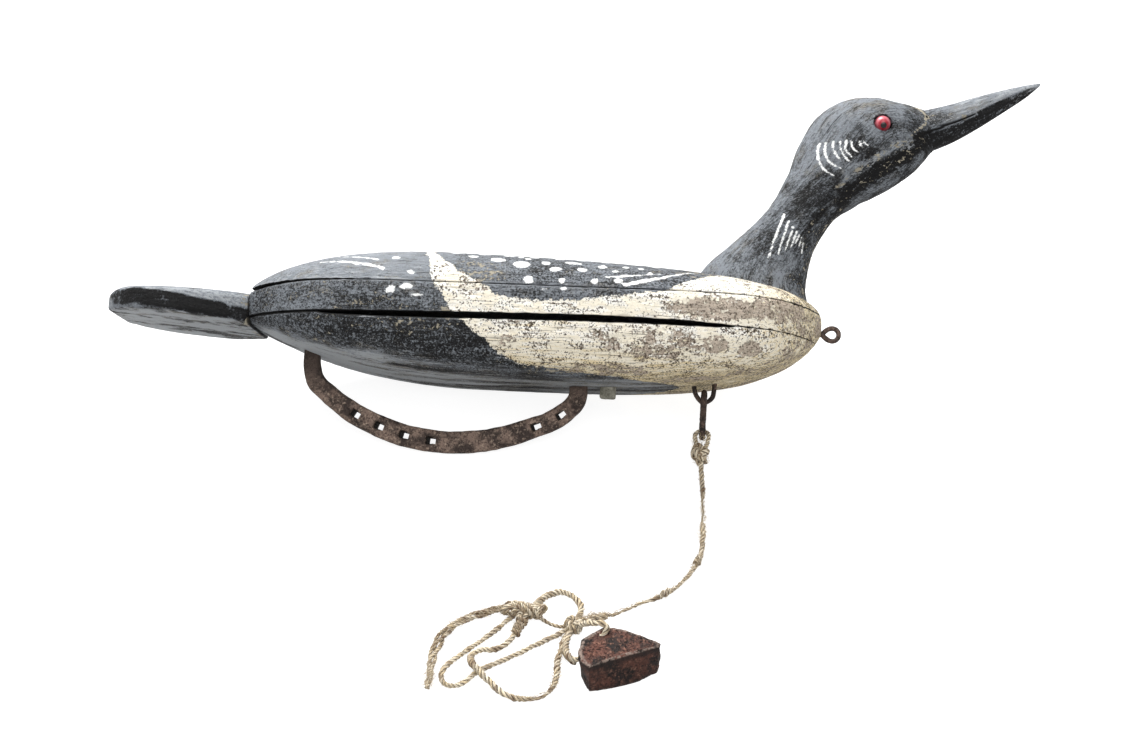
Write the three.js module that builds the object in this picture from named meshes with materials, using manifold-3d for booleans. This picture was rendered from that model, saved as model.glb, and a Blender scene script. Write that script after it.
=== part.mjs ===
// Loon decoy with a horseshoe keel and a hemp anchor line, lying on its left side.
// The bird is built upright, in millimetres: +X forward from the rear end of the body,
// +Y its left side, +Z up from the seam between the middle and the belly board.
// It is then laid down on the flat that its own weight would rest it on.

import * as THREE from 'three';
import Module from 'manifold-3d';
import { ConvexHull } from 'three/addons/math/ConvexHull.js';
import { mergeVertices } from 'three/addons/utils/BufferGeometryUtils.js';

const wasm = await Module();
wasm.setup();

// Space between pieces that touch, and the depth that a cut passes a face by.
const FIT_GAP = 0.3;
const CUT_MARGIN = 4;
const MERGE_DISTANCE = 1e-4;

// Body, carved from three boards.
const BODY_LENGTH = 486;
const BODY_WIDTH = 164;
const BACK_HEIGHT = 65.5;
const BELLY_DEPTH = 44;
const MIDDLE_BOARD = 27;
const WAIST_HEIGHT = 15;
const WIDEST_STATION = 250;
const HIGHEST_STATION = 160;
const DEEPEST_STATION = 200;
const BACK_FULLNESS = 2.3;
const BELLY_FULLNESS = 4.2;
const BODY_STATIONS = 25;
const BODY_SIDES = 24;

// How the body narrows, lowers and shallows from its fullest stations towards each end:
// the run of the curve as a share of the way to that end, how late it falls, how blunt it closes.
const BODY_FALL = {
  wide: { aft: [1.12, 5.5, 1], fore: [1, 7, 1] },
  high: { aft: [1.062, 2, 2], fore: [1, 1.6, 3.3] },
  deep: { aft: [1.175, 2.2, 1.1], fore: [1, 4, 1.8] },
};
const BREAST_FLAT = 0.4;

// Seams: the crack that has opened above the belly board, under the bowed middle board,
// and the lifted rear of the back board.
const CRACK_WIDTH = 4.6;
const CRACK_START = 66;
const CRACK_END = 408;
const CRACK_LATE = 2.6;
const CRACK_BLUNT = 2;
const BOW_RISE = 3;
const BOW_SKEW = 1.6;
const LIFT_LENGTH = 66;
const LIFT_CURVE = 1.5;
const BACK_LIFT_DROP = 2;
const MIDDLE_LIFT_DROP = 5.5;
const SEAM_STEPS = 14;

// Tail paddle, butted to the rear end of the boards.
const TAIL_LENGTH = 130;
const TAIL_WIDTH = 124;
const TAIL_ROOT_WIDTH = 77;
const TAIL_ROOT_THICKNESS = 28;
const TAIL_TIP_THICKNESS = 20;
const TAIL_ROOT_HEIGHT = 7;
const TAIL_TIP_HEIGHT = 12;
const TAIL_TIP_ARC = 0.54;
const TAIL_TIP_LATE = 2.2;
const TAIL_ROOT_LATE = 2;
const TAIL_BLUNT = 2;
const TAIL_CROWDING = 0.9;
const TAIL_EDGE_RUN = 0.06;
const TAIL_EDGE_SHARE = 0.35;
const TAIL_TIP_FLAT = 3;
const TAIL_TOP_FULLNESS = 5;
const TAIL_UNDER_FULLNESS = 10;
const TAIL_STATIONS = 13;
const TAIL_SIDES = 20;

// Neck and head: the line of the nape and crown, and the line of the throat and chin, paired.
// Each row holds nape x and z, throat x and z, and the width across.
const HEAD_LINES = [
  [374, 40, 476, 26, 70],
  [381, 60, 471, 47, 64],
  [404, 84, 475, 75, 54],
  [422, 101, 483, 94, 50],
  [436, 117, 495, 112, 48],
  [446, 134, 515, 126, 48],
  [454, 152, 537, 138, 52],
  [463, 178, 556, 152, 57],
  [477, 202, 566, 161, 58],
  [496, 216, 571, 167, 55],
  [520, 221, 574, 171, 50],
  [546, 218, 576, 174, 41],
  [569, 213, 578, 176, 27],
];
const HEAD_SECTION = { waist: 0.52, fullUp: 2.3, fullDown: 2.1 };
const HEAD_STATIONS = 21;
const HEAD_SIDES = 20;
const EYE_X = 531;
const EYE_Z = 191.6;
const EYE_DIAMETER = 14;
const EYE_SPACING = 47;
const SOCKET_CLEARANCE = 1.2;
const EYE_STEPS = 12;
const EYE_RINGS = 8;

// Beak, let on to the front of the head: upper and lower line, and the width across.
const BEAK_LINES = [
  [569.3, 213, 578.3, 176, 26],
  [590, 218, 596, 185, 21],
  [614, 226, 617, 198, 15.5],
  [640, 234, 640, 214, 10],
  [660, 239, 659, 228, 5.5],
  [671, 241, 670, 238, 2.4],
];
const BEAK_SECTION = { waist: 0.5, fullUp: 2, fullDown: 2 };
const BEAK_STATIONS = 12;
const BEAK_SIDES = 16;
const MOUTH_LINE = [[572, 193], [588, 198], [603, 204.5], [622, 214]];
const MOUTH_SLIT = 1.1;
const MOUTH_DEPTH = 1.6;

// Horseshoe on edge in the middle plane, opened out, its heels let into the belly.
const SHOE_LINE = [
  [48.5, -14], [49.5, -34], [53.5, -47], [68, -60], [92, -76], [121, -88], [152, -94.8],
  [180, -95.4], [212, -91], [243, -80.5], [266, -69], [279, -55], [280, -40], [279, -32],
];
const SHOE_WEB = 19;
const SHOE_REAR_WEB = 12;
const SHOE_FRONT_WEB = 14;
const SHOE_WEB_RISE = 0.6;
const SHOE_THICKNESS = 9;
const SHOE_CHAMFER = 1.2;
const SHOE_STEPS = 34;
const SHOE_SEARCH_STEPS = 400;
const NAIL_HOLE_LENGTH = 7.5;
const NAIL_HOLE_WIDTH = 5.5;
const NAIL_HOLE_STATIONS = [91, 112, 134, 157, 246, 267];

// Square stud under the belly.
const STUD_X = 305.5;
const STUD_SIZE = 13.5;
const STUD_REACH = 8.8;
const STUD_CHAMFER = 1.2;

// Staple under the breast, the link in it and the ring bolt in the breast.
const STAPLE_X = 387.5;
const STAPLE_WIDTH = 17;
const STAPLE_REACH = 17;
const STAPLE_WIRE = 4;
const STAPLE_SPLAY = 1;
const STAPLE_SHOULDER = 3;
const STAPLE_REAR_BEND = [0.72, 0.6];
const STAPLE_FRONT_BEND = [0.78, 0.5];
const LINK_LENGTH = 47;
const LINK_WIDTH = 19;
const LINK_WIRE = 5;
const LINK_SLANT = 10;
const RING_Z = 10.5;
const RING_OUTER = 15.6;
const RING_WIRE = 3.4;
const RING_SHANK = 3.6;
const RING_STAND_OFF = 1;
const RING_OVERLAP = 1;
const WIRE_SIDES = 8;
const WIRE_STEPS = 16;

// The way down that the decoy lies, leftwards and to the belly, and the depth of its worn flats.
const RESTING_SIDE = [0, 0.74, -0.67];
const REST_FLAT = 0.6;

// Hemp line. Its points are measured from the floor right below the link's lower eye.
const LINE_DIAMETER = 4.2;
const FREE_END_DIAMETER = 6.2;

// Distance between the corners along a line, in diameters, by how tightly it bends.
const LINE_STRIDE = 2.8;
const FREE_END_STRIDE = 2;
const WEIGHT_LOOP_STRIDE = 1.9;
const LINK_BIGHT_STRIDE = 1.6;

// How the knots are rounded, and how deep the grooves between their turns are.
const KNOT_SIDES = 8;
const KNOT_FULLNESS = 2;
const GROOVE_DEPTH = 0.84;
const WINDING_END = 0.55;

const LINK_BIGHT = [
  [-4, -20, 8], [-6, -12.5, 9.4], [-5.6, -5.4, 10.4], [0, -0.6, 10.8],
  [5.6, -5.4, 10.4], [5.4, -12.5, 9.2], [3, -20, 8],
];
const LINK_KNOT = { from: [-2.6, -16.5, 7.6], to: [-1.2, -39, 6.6], width: 16, height: 12.5, turns: 3 };

const ANCHOR_LINE = [
  [-1.2, -39.4, 6.5], [-0.8, -46, 5.2], [-0.2, -54, 3.2], [0.2, -62, 2.3], [0.3, -75, 2.2],
  [0.4, -90, 2.2], [0.3, -105, 2.2], [0.1, -120, 2.2], [-0.4, -135, 2.2], [-1.8, -147, 2.2],
  [-4.6, -156, 2.2], [-8.8, -164.5, 2.2], [-13.6, -172.5, 2.2], [-19.5, -181, 2.2],
  [-27.6, -189.6, 2.2], [-37, -195.6, 2.2], [-48, -201.2, 2.2], [-58.6, -208.4, 2.2],
  [-67, -214.4, 3], [-74.6, -218.5, 4.3],
];

// The knot at the weight: a round knot, a frayed winding and the loop through the iron.
const WEIGHT_KNOT = [
  { from: [-103.4, -234.8, 6.8], to: [-90.6, -229.4, 7], width: 13.5, height: 13, turns: 2 },
  { from: [-93.6, -227, 6], to: [-75, -218.8, 4.5], width: 9, height: 8.4, turns: 3 },
];
const WEIGHT_LOOP = [
  [-97, -233, 8], [-100.4, -243, 7], [-101.6, -252.4, 7.2], [-100.6, -261.4, 8.6],
  [-97.4, -268.4, 10.4], [-92.6, -270.6, 11.6], [-88.2, -268.2, 14.4], [-84.6, -265.4, 16.9],
  [-80.6, -262.2, 19.8], [-76.6, -259.1, 22.6], [-73, -256.2, 25.6], [-72, -252.6, 28.2],
  [-76, -249.8, 28.4], [-81.4, -246.6, 25], [-87, -240.2, 18], [-92.6, -235.4, 11],
];
const LOOP_HOLE = { from: [-100.2, -277.5, 6.5], to: [-66, -250.9, 30], width: 6.6 };

// The spare length: two loops and a ring that meet in a whipping, a short tie and a free end.
const FIRST_LOOP = [
  [-98.1, -235.4, 5], [-102.4, -239.9, 3.2], [-104.4, -246, 2.2], [-105.6, -255, 2.2],
  [-107.2, -263.5, 2.2], [-107, -272.5, 2.2], [-107, -281.5, 2.2], [-109.6, -290.4, 2.2],
  [-115.6, -297.9, 2.2], [-124, -301.6, 2.2], [-133.6, -302.2, 2.2], [-141.6, -299.6, 2.2],
  [-148.6, -294.4, 2.2], [-154.6, -288.8, 3.4], [-160.6, -283.6, 5.6], [-165.8, -278.7, 6.9],
  [-169.6, -272.4, 5.4], [-171, -265.9, 3.2], [-168.4, -260, 2.2], [-162.6, -256.8, 2.2],
  [-156.6, -256, 2.2], [-150.4, -253.2, 2.2], [-144.8, -247.8, 2.4], [-141, -241.4, 3.6],
  [-138.4, -234.9, 4.4], [-135.6, -227.9, 4.8], [-133.6, -220.4, 6],
];
const RING_LOOP = [
  [-131.6, -217.4, 6.4], [-127.1, -210.9, 5.2], [-123.1, -203.9, 3.4], [-117.6, -197.4, 2.3],
  [-110.1, -194, 2.2], [-102.1, -196, 2.2], [-95.8, -202.2, 2.2], [-93, -210.1, 2.2],
  [-93.6, -217.8, 2.4], [-95.8, -224, 3.6], [-97.1, -229.4, 5.5],
];
const SECOND_LOOP = [
  [-98.6, -232.9, 5], [-103.4, -234.7, 3.4], [-108.2, -237.6, 2.3], [-116.7, -243.8, 2.2],
  [-127.5, -251.5, 2.2], [-135.3, -257.6, 2.2], [-142.6, -263.1, 2.2], [-149.9, -268, 2.2],
  [-157.2, -272.2, 2.2], [-162.8, -276.4, 2.2], [-168, -282.4, 2.2], [-172.4, -288, 2.2],
  [-177.8, -292, 2.2], [-183.6, -293, 2.2], [-188.4, -289.8, 2.2], [-190.6, -284.2, 2.2],
  [-190, -278, 2.2], [-187, -272.2, 2.2], [-182, -265.8, 2.2], [-175.8, -258.8, 2.2],
  [-167.4, -250.4, 2.2], [-159.6, -241.2, 2.2], [-151.2, -230.6, 2.2], [-144.1, -222.4, 3.2],
  [-138.6, -217.9, 5.5],
];
const FREE_END = [
  [-140.6, -217, 6.3], [-146.6, -215.6, 5.6], [-153.1, -215.7, 4.2], [-162.9, -218.6, 3.2],
  [-173, -223.6, 3.2], [-181, -228.4, 3.2], [-187.6, -235, 3.2], [-193.4, -243, 3.2],
  [-196.8, -252, 3.2], [-198.4, -260.4, 3.2], [-199.1, -269.4, 3.2], [-199, -278.4, 3.2],
  [-198.6, -287.4, 3.2], [-199, -297, 3.2],
];
const TIE = [
  [-128.6, -220.9, 5.5], [-121.8, -223.8, 3.4], [-115, -227.8, 2.6], [-107.2, -230.7, 3.2],
  [-101.1, -231.9, 5],
];
const WHIPPINGS = [
  { from: [-147.1, -217.9, 6.7], to: [-122.1, -219.4, 6.7], width: 13.5, height: 13, turns: 4 },
  { from: [-134.6, -225.4, 4.8], to: [-140.6, -240.4, 4.5], width: 8.6, height: 8.4, turns: 3 },
];

// Anchor weight, a wedge of scrap iron: x and y of each corner at the foot, then at the top.
const WEIGHT_PLACE = [-61, -268];
const WEIGHT_HEIGHT = 25;
const WEIGHT_CHAMFER = 1.5;
const WEIGHT_PLAN = [
  [-22, -23, -22.5, -22], [-10.5, -20.5, -12.5, -16], [3.5, -15.5, 4.5, -8.5],
  [15.5, -10, 17.5, -2.5], [27, -2, 28, 1.5], [29, 4, 28.5, 4.5], [22.5, 8, 22.5, 8],
  [13.5, 12.5, 13.5, 12.5], [-0.5, 17.5, -0.5, 17.5], [-12, 19, -12, 19],
  [-22.5, 11, -22.5, 11], [-29, 4.5, -29, 4.5], [-28, -8.5, -31, -7.5],
  [-25.5, -15.5, -28.5, -15.5],
];

// Weights of the two materials, in kilograms per cubic millimetre.
const WOOD_DENSITY = 600e-9;
const IRON_DENSITY = 7200e-9;

const FINISHES = {
  black_paint: { color: 0x2e3036, roughness: 0.75, metalness: 0 },
  rusty_iron: { color: 0x57473f, roughness: 0.85, metalness: 0.5 },
  dark_iron: { color: 0x37302c, roughness: 0.7, metalness: 0.6 },
  grey_iron: { color: 0x6c6a60, roughness: 0.8, metalness: 0.3 },
  red_glass: { color: 0xa02030, roughness: 0.15, metalness: 0 },
  hemp: { color: 0xb8a888, roughness: 0.95, metalness: 0 },
  red_rust: { color: 0x55332f, roughness: 0.9, metalness: 0.4 },
};

// A named mesh in one of the finishes.
function piece(name, geometry, finish) {
  const mesh = new THREE.Mesh(geometry, new THREE.MeshStandardMaterial(FINISHES[finish]));
  mesh.name = name;
  return mesh;
}

// Turn a three.js geometry into a solid and back.
function toSolid(geometry) {
  let bare = geometry.clone();
  bare.deleteAttribute('normal');
  bare.deleteAttribute('uv');
  bare = mergeVertices(bare, MERGE_DISTANCE);
  return new wasm.Manifold(new wasm.Mesh({
    numProp: 3,
    vertProperties: new Float32Array(bare.attributes.position.array),
    triVerts: new Uint32Array(bare.index.array),
  }));
}

function toGeometry(solid) {
  const mesh = solid.getMesh();
  const geometry = new THREE.BufferGeometry();
  geometry.setAttribute('position', new THREE.BufferAttribute(mesh.vertProperties, 3));
  geometry.setIndex(new THREE.BufferAttribute(mesh.triVerts, 1));
  geometry.computeVertexNormals();
  return geometry;
}

function subtract(geometry, ...cutters) {
  const cut = cutters.reduce((solid, cutter) => solid.subtract(toSolid(cutter)), toSolid(geometry));
  return toGeometry(cut);
}

function intersect(geometry, other) {
  return toGeometry(toSolid(geometry).intersect(toSolid(other)));
}

function join(...geometries) {
  return toGeometry(geometries.map(toSolid).reduce((whole, solid) => whole.add(solid)));
}

// Skin a row of rings, each with the same number of points, and close both ends with a fan.
function skin(rings) {
  const count = rings[0].length;
  const points = rings.flat();
  const faces = [];
  for (let ring = 0; ring < rings.length - 1; ring += 1) {
    for (let side = 0; side < count; side += 1) {
      const next = (side + 1) % count;
      const a = ring * count + side;
      const b = ring * count + next;
      faces.push(a, b, b + count, a, b + count, a + count);
    }
  }
  const first = points.length;
  points.push(middle(rings[0]), middle(rings.at(-1)));
  const start = (rings.length - 1) * count;
  for (let side = 0; side < count; side += 1) {
    const next = (side + 1) % count;
    faces.push(first, next, side);
    faces.push(first + 1, start + side, start + next);
  }
  const geometry = new THREE.BufferGeometry().setFromPoints(points);
  geometry.setIndex(faces);
  return outward(geometry);
}

function middle(ring) {
  const sum = ring.reduce((total, point) => total.add(point), new THREE.Vector3());
  return sum.divideScalar(ring.length);
}

// Volume inside a closed mesh, and the point that balances it.
function balance(geometry) {
  const spot = geometry.attributes.position;
  const index = geometry.index ? geometry.index.array : [...Array(spot.count).keys()];
  const centre = new THREE.Vector3();
  let volume = 0;
  for (let face = 0; face < index.length; face += 3) {
    const corners = [0, 1, 2].map((k) => new THREE.Vector3().fromBufferAttribute(spot, index[face + k]));
    const part = corners[0].dot(corners[1].clone().cross(corners[2])) / 6;
    const quarter = corners[0].clone().add(corners[1]).add(corners[2]).divideScalar(4);
    centre.addScaledVector(quarter, part);
    volume += part;
  }
  return { volume, centre: centre.divideScalar(volume) };
}

function outward(geometry) {
  if (balance(geometry).volume < 0) {
    const index = geometry.index.array;
    for (let face = 0; face < index.length; face += 3) {
      [index[face + 1], index[face + 2]] = [index[face + 2], index[face + 1]];
    }
  }
  return geometry;
}

// A rounded section: a superellipse whose upper and lower halves can differ in height and fullness.
function roundSection({ half, up, down, fullUp, fullDown, sides }) {
  const ring = [];
  for (let side = 0; side < sides; side += 1) {
    const angle = (side + 0.5) * 2 * Math.PI / sides;
    const across = Math.cos(angle);
    const along = Math.sin(angle);
    const power = 2 / (along > 0 ? fullUp : fullDown);
    const height = along > 0 ? up : down;
    ring.push({
      across: half * Math.sign(across) * Math.abs(across) ** power,
      along: height * Math.sign(along) * Math.abs(along) ** power,
    });
  }
  return ring;
}

// Falls from one at no distance to nothing at the reach; the powers set how late and how blunt.
function fade(distance, reach, late, blunt) {
  const share = Math.min(Math.abs(distance) / reach, 1);
  return (1 - share ** late) ** (1 / blunt);
}

// The size of the body at a station: half width, back height and belly depth about the waist.
function bodySize(x) {
  const share = (station, fall) => {
    const ahead = x > station;
    const [stretch, late, blunt] = ahead ? fall.fore : fall.aft;
    const run = ahead ? BODY_LENGTH - station : station;
    return fade(x - station, stretch * run, late, blunt);
  };
  return {
    half: BODY_WIDTH / 2 * share(WIDEST_STATION, BODY_FALL.wide),
    up: (BACK_HEIGHT - WAIST_HEIGHT) * share(HIGHEST_STATION, BODY_FALL.high),
    down: (BELLY_DEPTH + WAIST_HEIGHT) * share(DEEPEST_STATION, BODY_FALL.deep),
  };
}

// The whole body as one carved form, grown outwards by a margin where it cuts its neighbours.
function bodyForm(grow = 0) {
  const rings = [];
  for (let step = 0; step <= BODY_STATIONS; step += 1) {
    const x = BODY_LENGTH * (1 - Math.cos(Math.PI * step / BODY_STATIONS)) / 2;
    const size = bodySize(Math.min(x, BODY_LENGTH - BREAST_FLAT));
    const ring = roundSection({
      half: size.half + grow,
      up: size.up + grow,
      down: size.down + grow,
      fullUp: BACK_FULLNESS,
      fullDown: BELLY_FULLNESS,
      sides: BODY_SIDES,
    });
    const place = step === 0 ? x - grow : x + grow * step / BODY_STATIONS;
    rings.push(ring.map((p) => new THREE.Vector3(place, p.across, WAIST_HEIGHT + p.along)));
  }
  return skin(rings);
}

// Height of the four faces that meet at the two seams, at a station.
function crackDepth(x) {
  const centre = (CRACK_START + CRACK_END) / 2;
  return CRACK_WIDTH * fade(x - centre, (CRACK_END - CRACK_START) / 2, CRACK_LATE, CRACK_BLUNT);
}

function bow(x) {
  const share = THREE.MathUtils.clamp((x - CRACK_START) / (CRACK_END - CRACK_START), 0, 1);
  return BOW_RISE * Math.sin(Math.PI * share ** BOW_SKEW);
}

function liftShare(x) {
  return Math.max(1 - x / LIFT_LENGTH, 0) ** LIFT_CURVE;
}

const SEAMS = {
  bellyTop: (x) => bow(x) - FIT_GAP / 2 - crackDepth(x),
  middleBottom: (x) => bow(x) + FIT_GAP / 2,
  middleTop: (x) => MIDDLE_BOARD - FIT_GAP / 2 - MIDDLE_LIFT_DROP * liftShare(x),
  backBottom: (x) => MIDDLE_BOARD + FIT_GAP / 2 - BACK_LIFT_DROP * liftShare(x),
};

// A slab of the body between a lower and an upper seam line, for one board.
function boardSlab(lower, upper) {
  const start = -CUT_MARGIN;
  const end = BODY_LENGTH + CUT_MARGIN;
  const marks = [start, CRACK_START, CRACK_END, end];
  for (let step = 1; step < SEAM_STEPS; step += 1) {
    const turn = (1 - Math.cos(Math.PI * step / SEAM_STEPS)) / 2;
    marks.push(CRACK_START + (CRACK_END - CRACK_START) * turn);
    marks.push(LIFT_LENGTH * step / SEAM_STEPS);
  }
  marks.sort((a, b) => a - b);
  const outline = marks.map((x) => new THREE.Vector2(x, lower(x)));
  outline.push(...marks.reverse().map((x) => new THREE.Vector2(x, upper(x))));
  const slab = new THREE.ExtrudeGeometry(new THREE.Shape(outline), {
    depth: BODY_WIDTH + 2 * CUT_MARGIN,
    bevelEnabled: false,
  });
  return slab.rotateX(Math.PI / 2).translate(0, BODY_WIDTH / 2 + CUT_MARGIN, 0);
}

function boards() {
  const form = bodyForm();
  const above = () => BACK_HEIGHT + CUT_MARGIN;
  const below = () => -BELLY_DEPTH - CUT_MARGIN;
  const slabs = {
    back_board: [SEAMS.backBottom, above],
    middle_board: [SEAMS.middleBottom, SEAMS.middleTop],
    belly_board: [below, SEAMS.bellyTop],
  };
  return Object.entries(slabs).map(([name, [lower, upper]]) => (
    piece(name, intersect(form, boardSlab(lower, upper)), 'black_paint')
  ));
}

// An oval paddle, thick at the root and thinner at the rounded tip.
function tailPaddle() {
  const rear = TAIL_LENGTH * TAIL_TIP_ARC;
  const widest = rear - TAIL_LENGTH;
  const rootShare = TAIL_ROOT_WIDTH / TAIL_WIDTH;
  const rootReach = -widest / Math.sqrt(1 - rootShare ** 2);
  const rings = [];
  for (let step = 0; step <= TAIL_STATIONS; step += 1) {
    const turn = step / TAIL_STATIONS;
    const along = (1 - Math.cos(Math.PI / 2 * turn)) ** TAIL_CROWDING;
    const x = -TAIL_LENGTH + (TAIL_LENGTH - FIT_GAP) * along;
    const narrow = x < widest
      ? fade(x - widest, rear, TAIL_TIP_LATE, TAIL_BLUNT)
      : fade(x - widest, rootReach, TAIL_ROOT_LATE, TAIL_BLUNT);
    const share = (x + TAIL_LENGTH) / TAIL_LENGTH;
    const thick = THREE.MathUtils.lerp(TAIL_TIP_THICKNESS, TAIL_ROOT_THICKNESS, share);
    const edge = THREE.MathUtils.clamp(share / TAIL_EDGE_RUN, TAIL_EDGE_SHARE, 1);
    const ring = roundSection({
      half: Math.max(TAIL_WIDTH / 2 * narrow, TAIL_TIP_FLAT),
      up: thick / 2 * edge,
      down: thick / 2 * edge,
      fullUp: TAIL_TOP_FULLNESS,
      fullDown: TAIL_UNDER_FULLNESS,
      sides: TAIL_SIDES,
    });
    const level = THREE.MathUtils.lerp(TAIL_TIP_HEIGHT, TAIL_ROOT_HEIGHT, share);
    rings.push(ring.map((p) => new THREE.Vector3(x, p.across, level + p.along)));
  }
  return skin(rings);
}

// A carved limb between two paired lines in the middle plane, such as nape and throat.
function pairedLoft(lines, stations, sides, section) {
  const curve = (columns) => new THREE.CatmullRomCurve3(
    lines.map((row) => new THREE.Vector3(...columns.map((column) => (column < 0 ? 0 : row[column])))),
    false,
    'centripetal',
  );
  const top = curve([0, -1, 1]);
  const bottom = curve([2, -1, 3]);
  const width = curve([4, -1, -1]);
  const rings = [];
  for (let step = 0; step <= stations; step += 1) {
    const at = step / stations;
    const upper = top.getPoint(at);
    const lower = bottom.getPoint(at);
    const waist = upper.clone().lerp(lower, section.waist);
    const reach = upper.clone().sub(lower);
    const ring = roundSection({
      half: width.getPoint(at).x / 2,
      up: section.waist,
      down: 1 - section.waist,
      fullUp: section.fullUp,
      fullDown: section.fullDown,
      sides,
    });
    rings.push(ring.map((p) => waist.clone().addScaledVector(reach, p.along).setY(p.across)));
  }
  return skin(rings);
}

function bead(side, radius) {
  const ball = new THREE.SphereGeometry(radius, EYE_STEPS, EYE_RINGS);
  return ball.translate(EYE_X, side * EYE_SPACING / 2, EYE_Z);
}

function neckAndHead() {
  const carved = pairedLoft(HEAD_LINES, HEAD_STATIONS, HEAD_SIDES, HEAD_SECTION);
  const sockets = [1, -1].map((side) => bead(side, EYE_DIAMETER / 2 + SOCKET_CLEARANCE));
  return subtract(carved, bodyForm(FIT_GAP), ...sockets);
}

// A dagger beak with a saw cut for the mouth along each side.
function beak() {
  const form = pairedLoft(BEAK_LINES, BEAK_STATIONS, BEAK_SIDES, BEAK_SECTION);
  const core = BEAK_LINES[0][4] / 2 - MOUTH_DEPTH;
  const narrowing = (BEAK_LINES[0][4] - BEAK_LINES[3][4]) / 2 / (BEAK_LINES[3][0] - BEAK_LINES[0][0]);
  const line = MOUTH_LINE.map(([x, z]) => new THREE.Vector2(x, z));
  const band = line.map((p) => p.clone().add(new THREE.Vector2(0, MOUTH_SLIT / 2)));
  band.push(...line.reverse().map((p) => p.clone().sub(new THREE.Vector2(0, MOUTH_SLIT / 2))));
  const slits = [1, -1].map((side) => {
    const blade = new THREE.ExtrudeGeometry(new THREE.Shape(band), { depth: core, bevelEnabled: false });
    blade.rotateX(Math.PI / 2).translate(-BEAK_LINES[0][0], side > 0 ? core : 0, 0);
    blade.rotateZ(-side * Math.atan(narrowing));
    return blade.translate(BEAK_LINES[0][0], side * core, 0);
  });
  return subtract(form, ...slits);
}

// The horseshoe's middle line, its web at a share of the way round, and its outline.
const shoeCurve = new THREE.CatmullRomCurve3(
  SHOE_LINE.map(([x, z]) => new THREE.Vector3(x, z, 0)),
  false,
  'centripetal',
);

function shoeWeb(share) {
  const heel = THREE.MathUtils.lerp(SHOE_REAR_WEB, SHOE_FRONT_WEB, share);
  return THREE.MathUtils.lerp(heel, SHOE_WEB, Math.sin(Math.PI * share) ** SHOE_WEB_RISE);
}

function shoeEdge(side, inset) {
  const edge = [];
  for (let step = 0; step <= SHOE_STEPS; step += 1) {
    const share = step / SHOE_STEPS;
    const point = shoeCurve.getPointAt(share);
    const along = shoeCurve.getTangentAt(share);
    const reach = side * (shoeWeb(share) / 2 - inset);
    edge.push(new THREE.Vector3(point.x - along.y * reach, 0, point.y + along.x * reach));
  }
  return edge;
}

// Skin the shoe as rings round the web, with chamfered corners.
function shoeBar() {
  const flat = SHOE_THICKNESS / 2;
  const corners = [
    [1, SHOE_CHAMFER, flat], [1, 0, flat - SHOE_CHAMFER],
    [1, 0, SHOE_CHAMFER - flat], [1, SHOE_CHAMFER, -flat],
    [-1, SHOE_CHAMFER, -flat], [-1, 0, SHOE_CHAMFER - flat],
    [-1, 0, flat - SHOE_CHAMFER], [-1, SHOE_CHAMFER, flat],
  ];
  const lines = corners.map(([side, inset, y]) => shoeEdge(side, inset).map((p) => p.setY(y)));
  const rings = [];
  for (let step = 0; step <= SHOE_STEPS; step += 1) {
    rings.push(lines.map((line) => line[step]));
  }
  return skin(rings);
}

// The share of the way round the shoe at which its middle line passes a station.
function shoeShareAt(x) {
  let nearest = 0;
  const miss = (share) => Math.abs(shoeCurve.getPointAt(share).x - x);
  for (let step = 0; step <= SHOE_SEARCH_STEPS; step += 1) {
    const share = step / SHOE_SEARCH_STEPS;
    if (miss(share) < miss(nearest)) {
      nearest = share;
    }
  }
  return nearest;
}

function nailHole(x) {
  const share = shoeShareAt(x);
  const point = shoeCurve.getPointAt(share);
  const along = shoeCurve.getTangentAt(share);
  const punch = new THREE.BoxGeometry(NAIL_HOLE_LENGTH, SHOE_THICKNESS + 2 * CUT_MARGIN, NAIL_HOLE_WIDTH);
  return punch.rotateY(-Math.atan2(along.y, along.x)).translate(point.x, 0, point.y);
}

function horseshoe() {
  return subtract(shoeBar(), bodyForm(FIT_GAP), ...NAIL_HOLE_STATIONS.map(nailHole));
}

function squareStud() {
  const size = bodySize(STUD_X);
  const belly = WAIST_HEIGHT - size.down;
  const head = STUD_SIZE - 2 * STUD_CHAMFER;
  const block = new THREE.ExtrudeGeometry(roundedSquare(head), {
    depth: STUD_REACH,
    bevelThickness: STUD_CHAMFER,
    bevelSize: STUD_CHAMFER,
    bevelSegments: 1,
    steps: 1,
  });
  block.translate(STUD_X, 0, belly - STUD_REACH + STUD_CHAMFER);
  return subtract(block, bodyForm(FIT_GAP));
}

function roundedSquare(size) {
  const half = size / 2;
  return new THREE.Shape([[-half, -half], [half, -half], [half, half], [-half, half]]
    .map(([x, y]) => new THREE.Vector2(x, y)));
}

// A round wire along a curve, closed at its ends.
function wire(curve, diameter, steps = WIRE_STEPS) {
  const section = new THREE.Shape();
  for (let side = 0; side < WIRE_SIDES; side += 1) {
    const angle = (side + 0.5) * 2 * Math.PI / WIRE_SIDES;
    const corner = [diameter / 2 * Math.cos(angle), diameter / 2 * Math.sin(angle)];
    if (side === 0) {
      section.moveTo(...corner);
    } else {
      section.lineTo(...corner);
    }
  }
  return new THREE.ExtrudeGeometry(section, { steps, extrudePath: curve, bevelEnabled: false });
}

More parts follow.
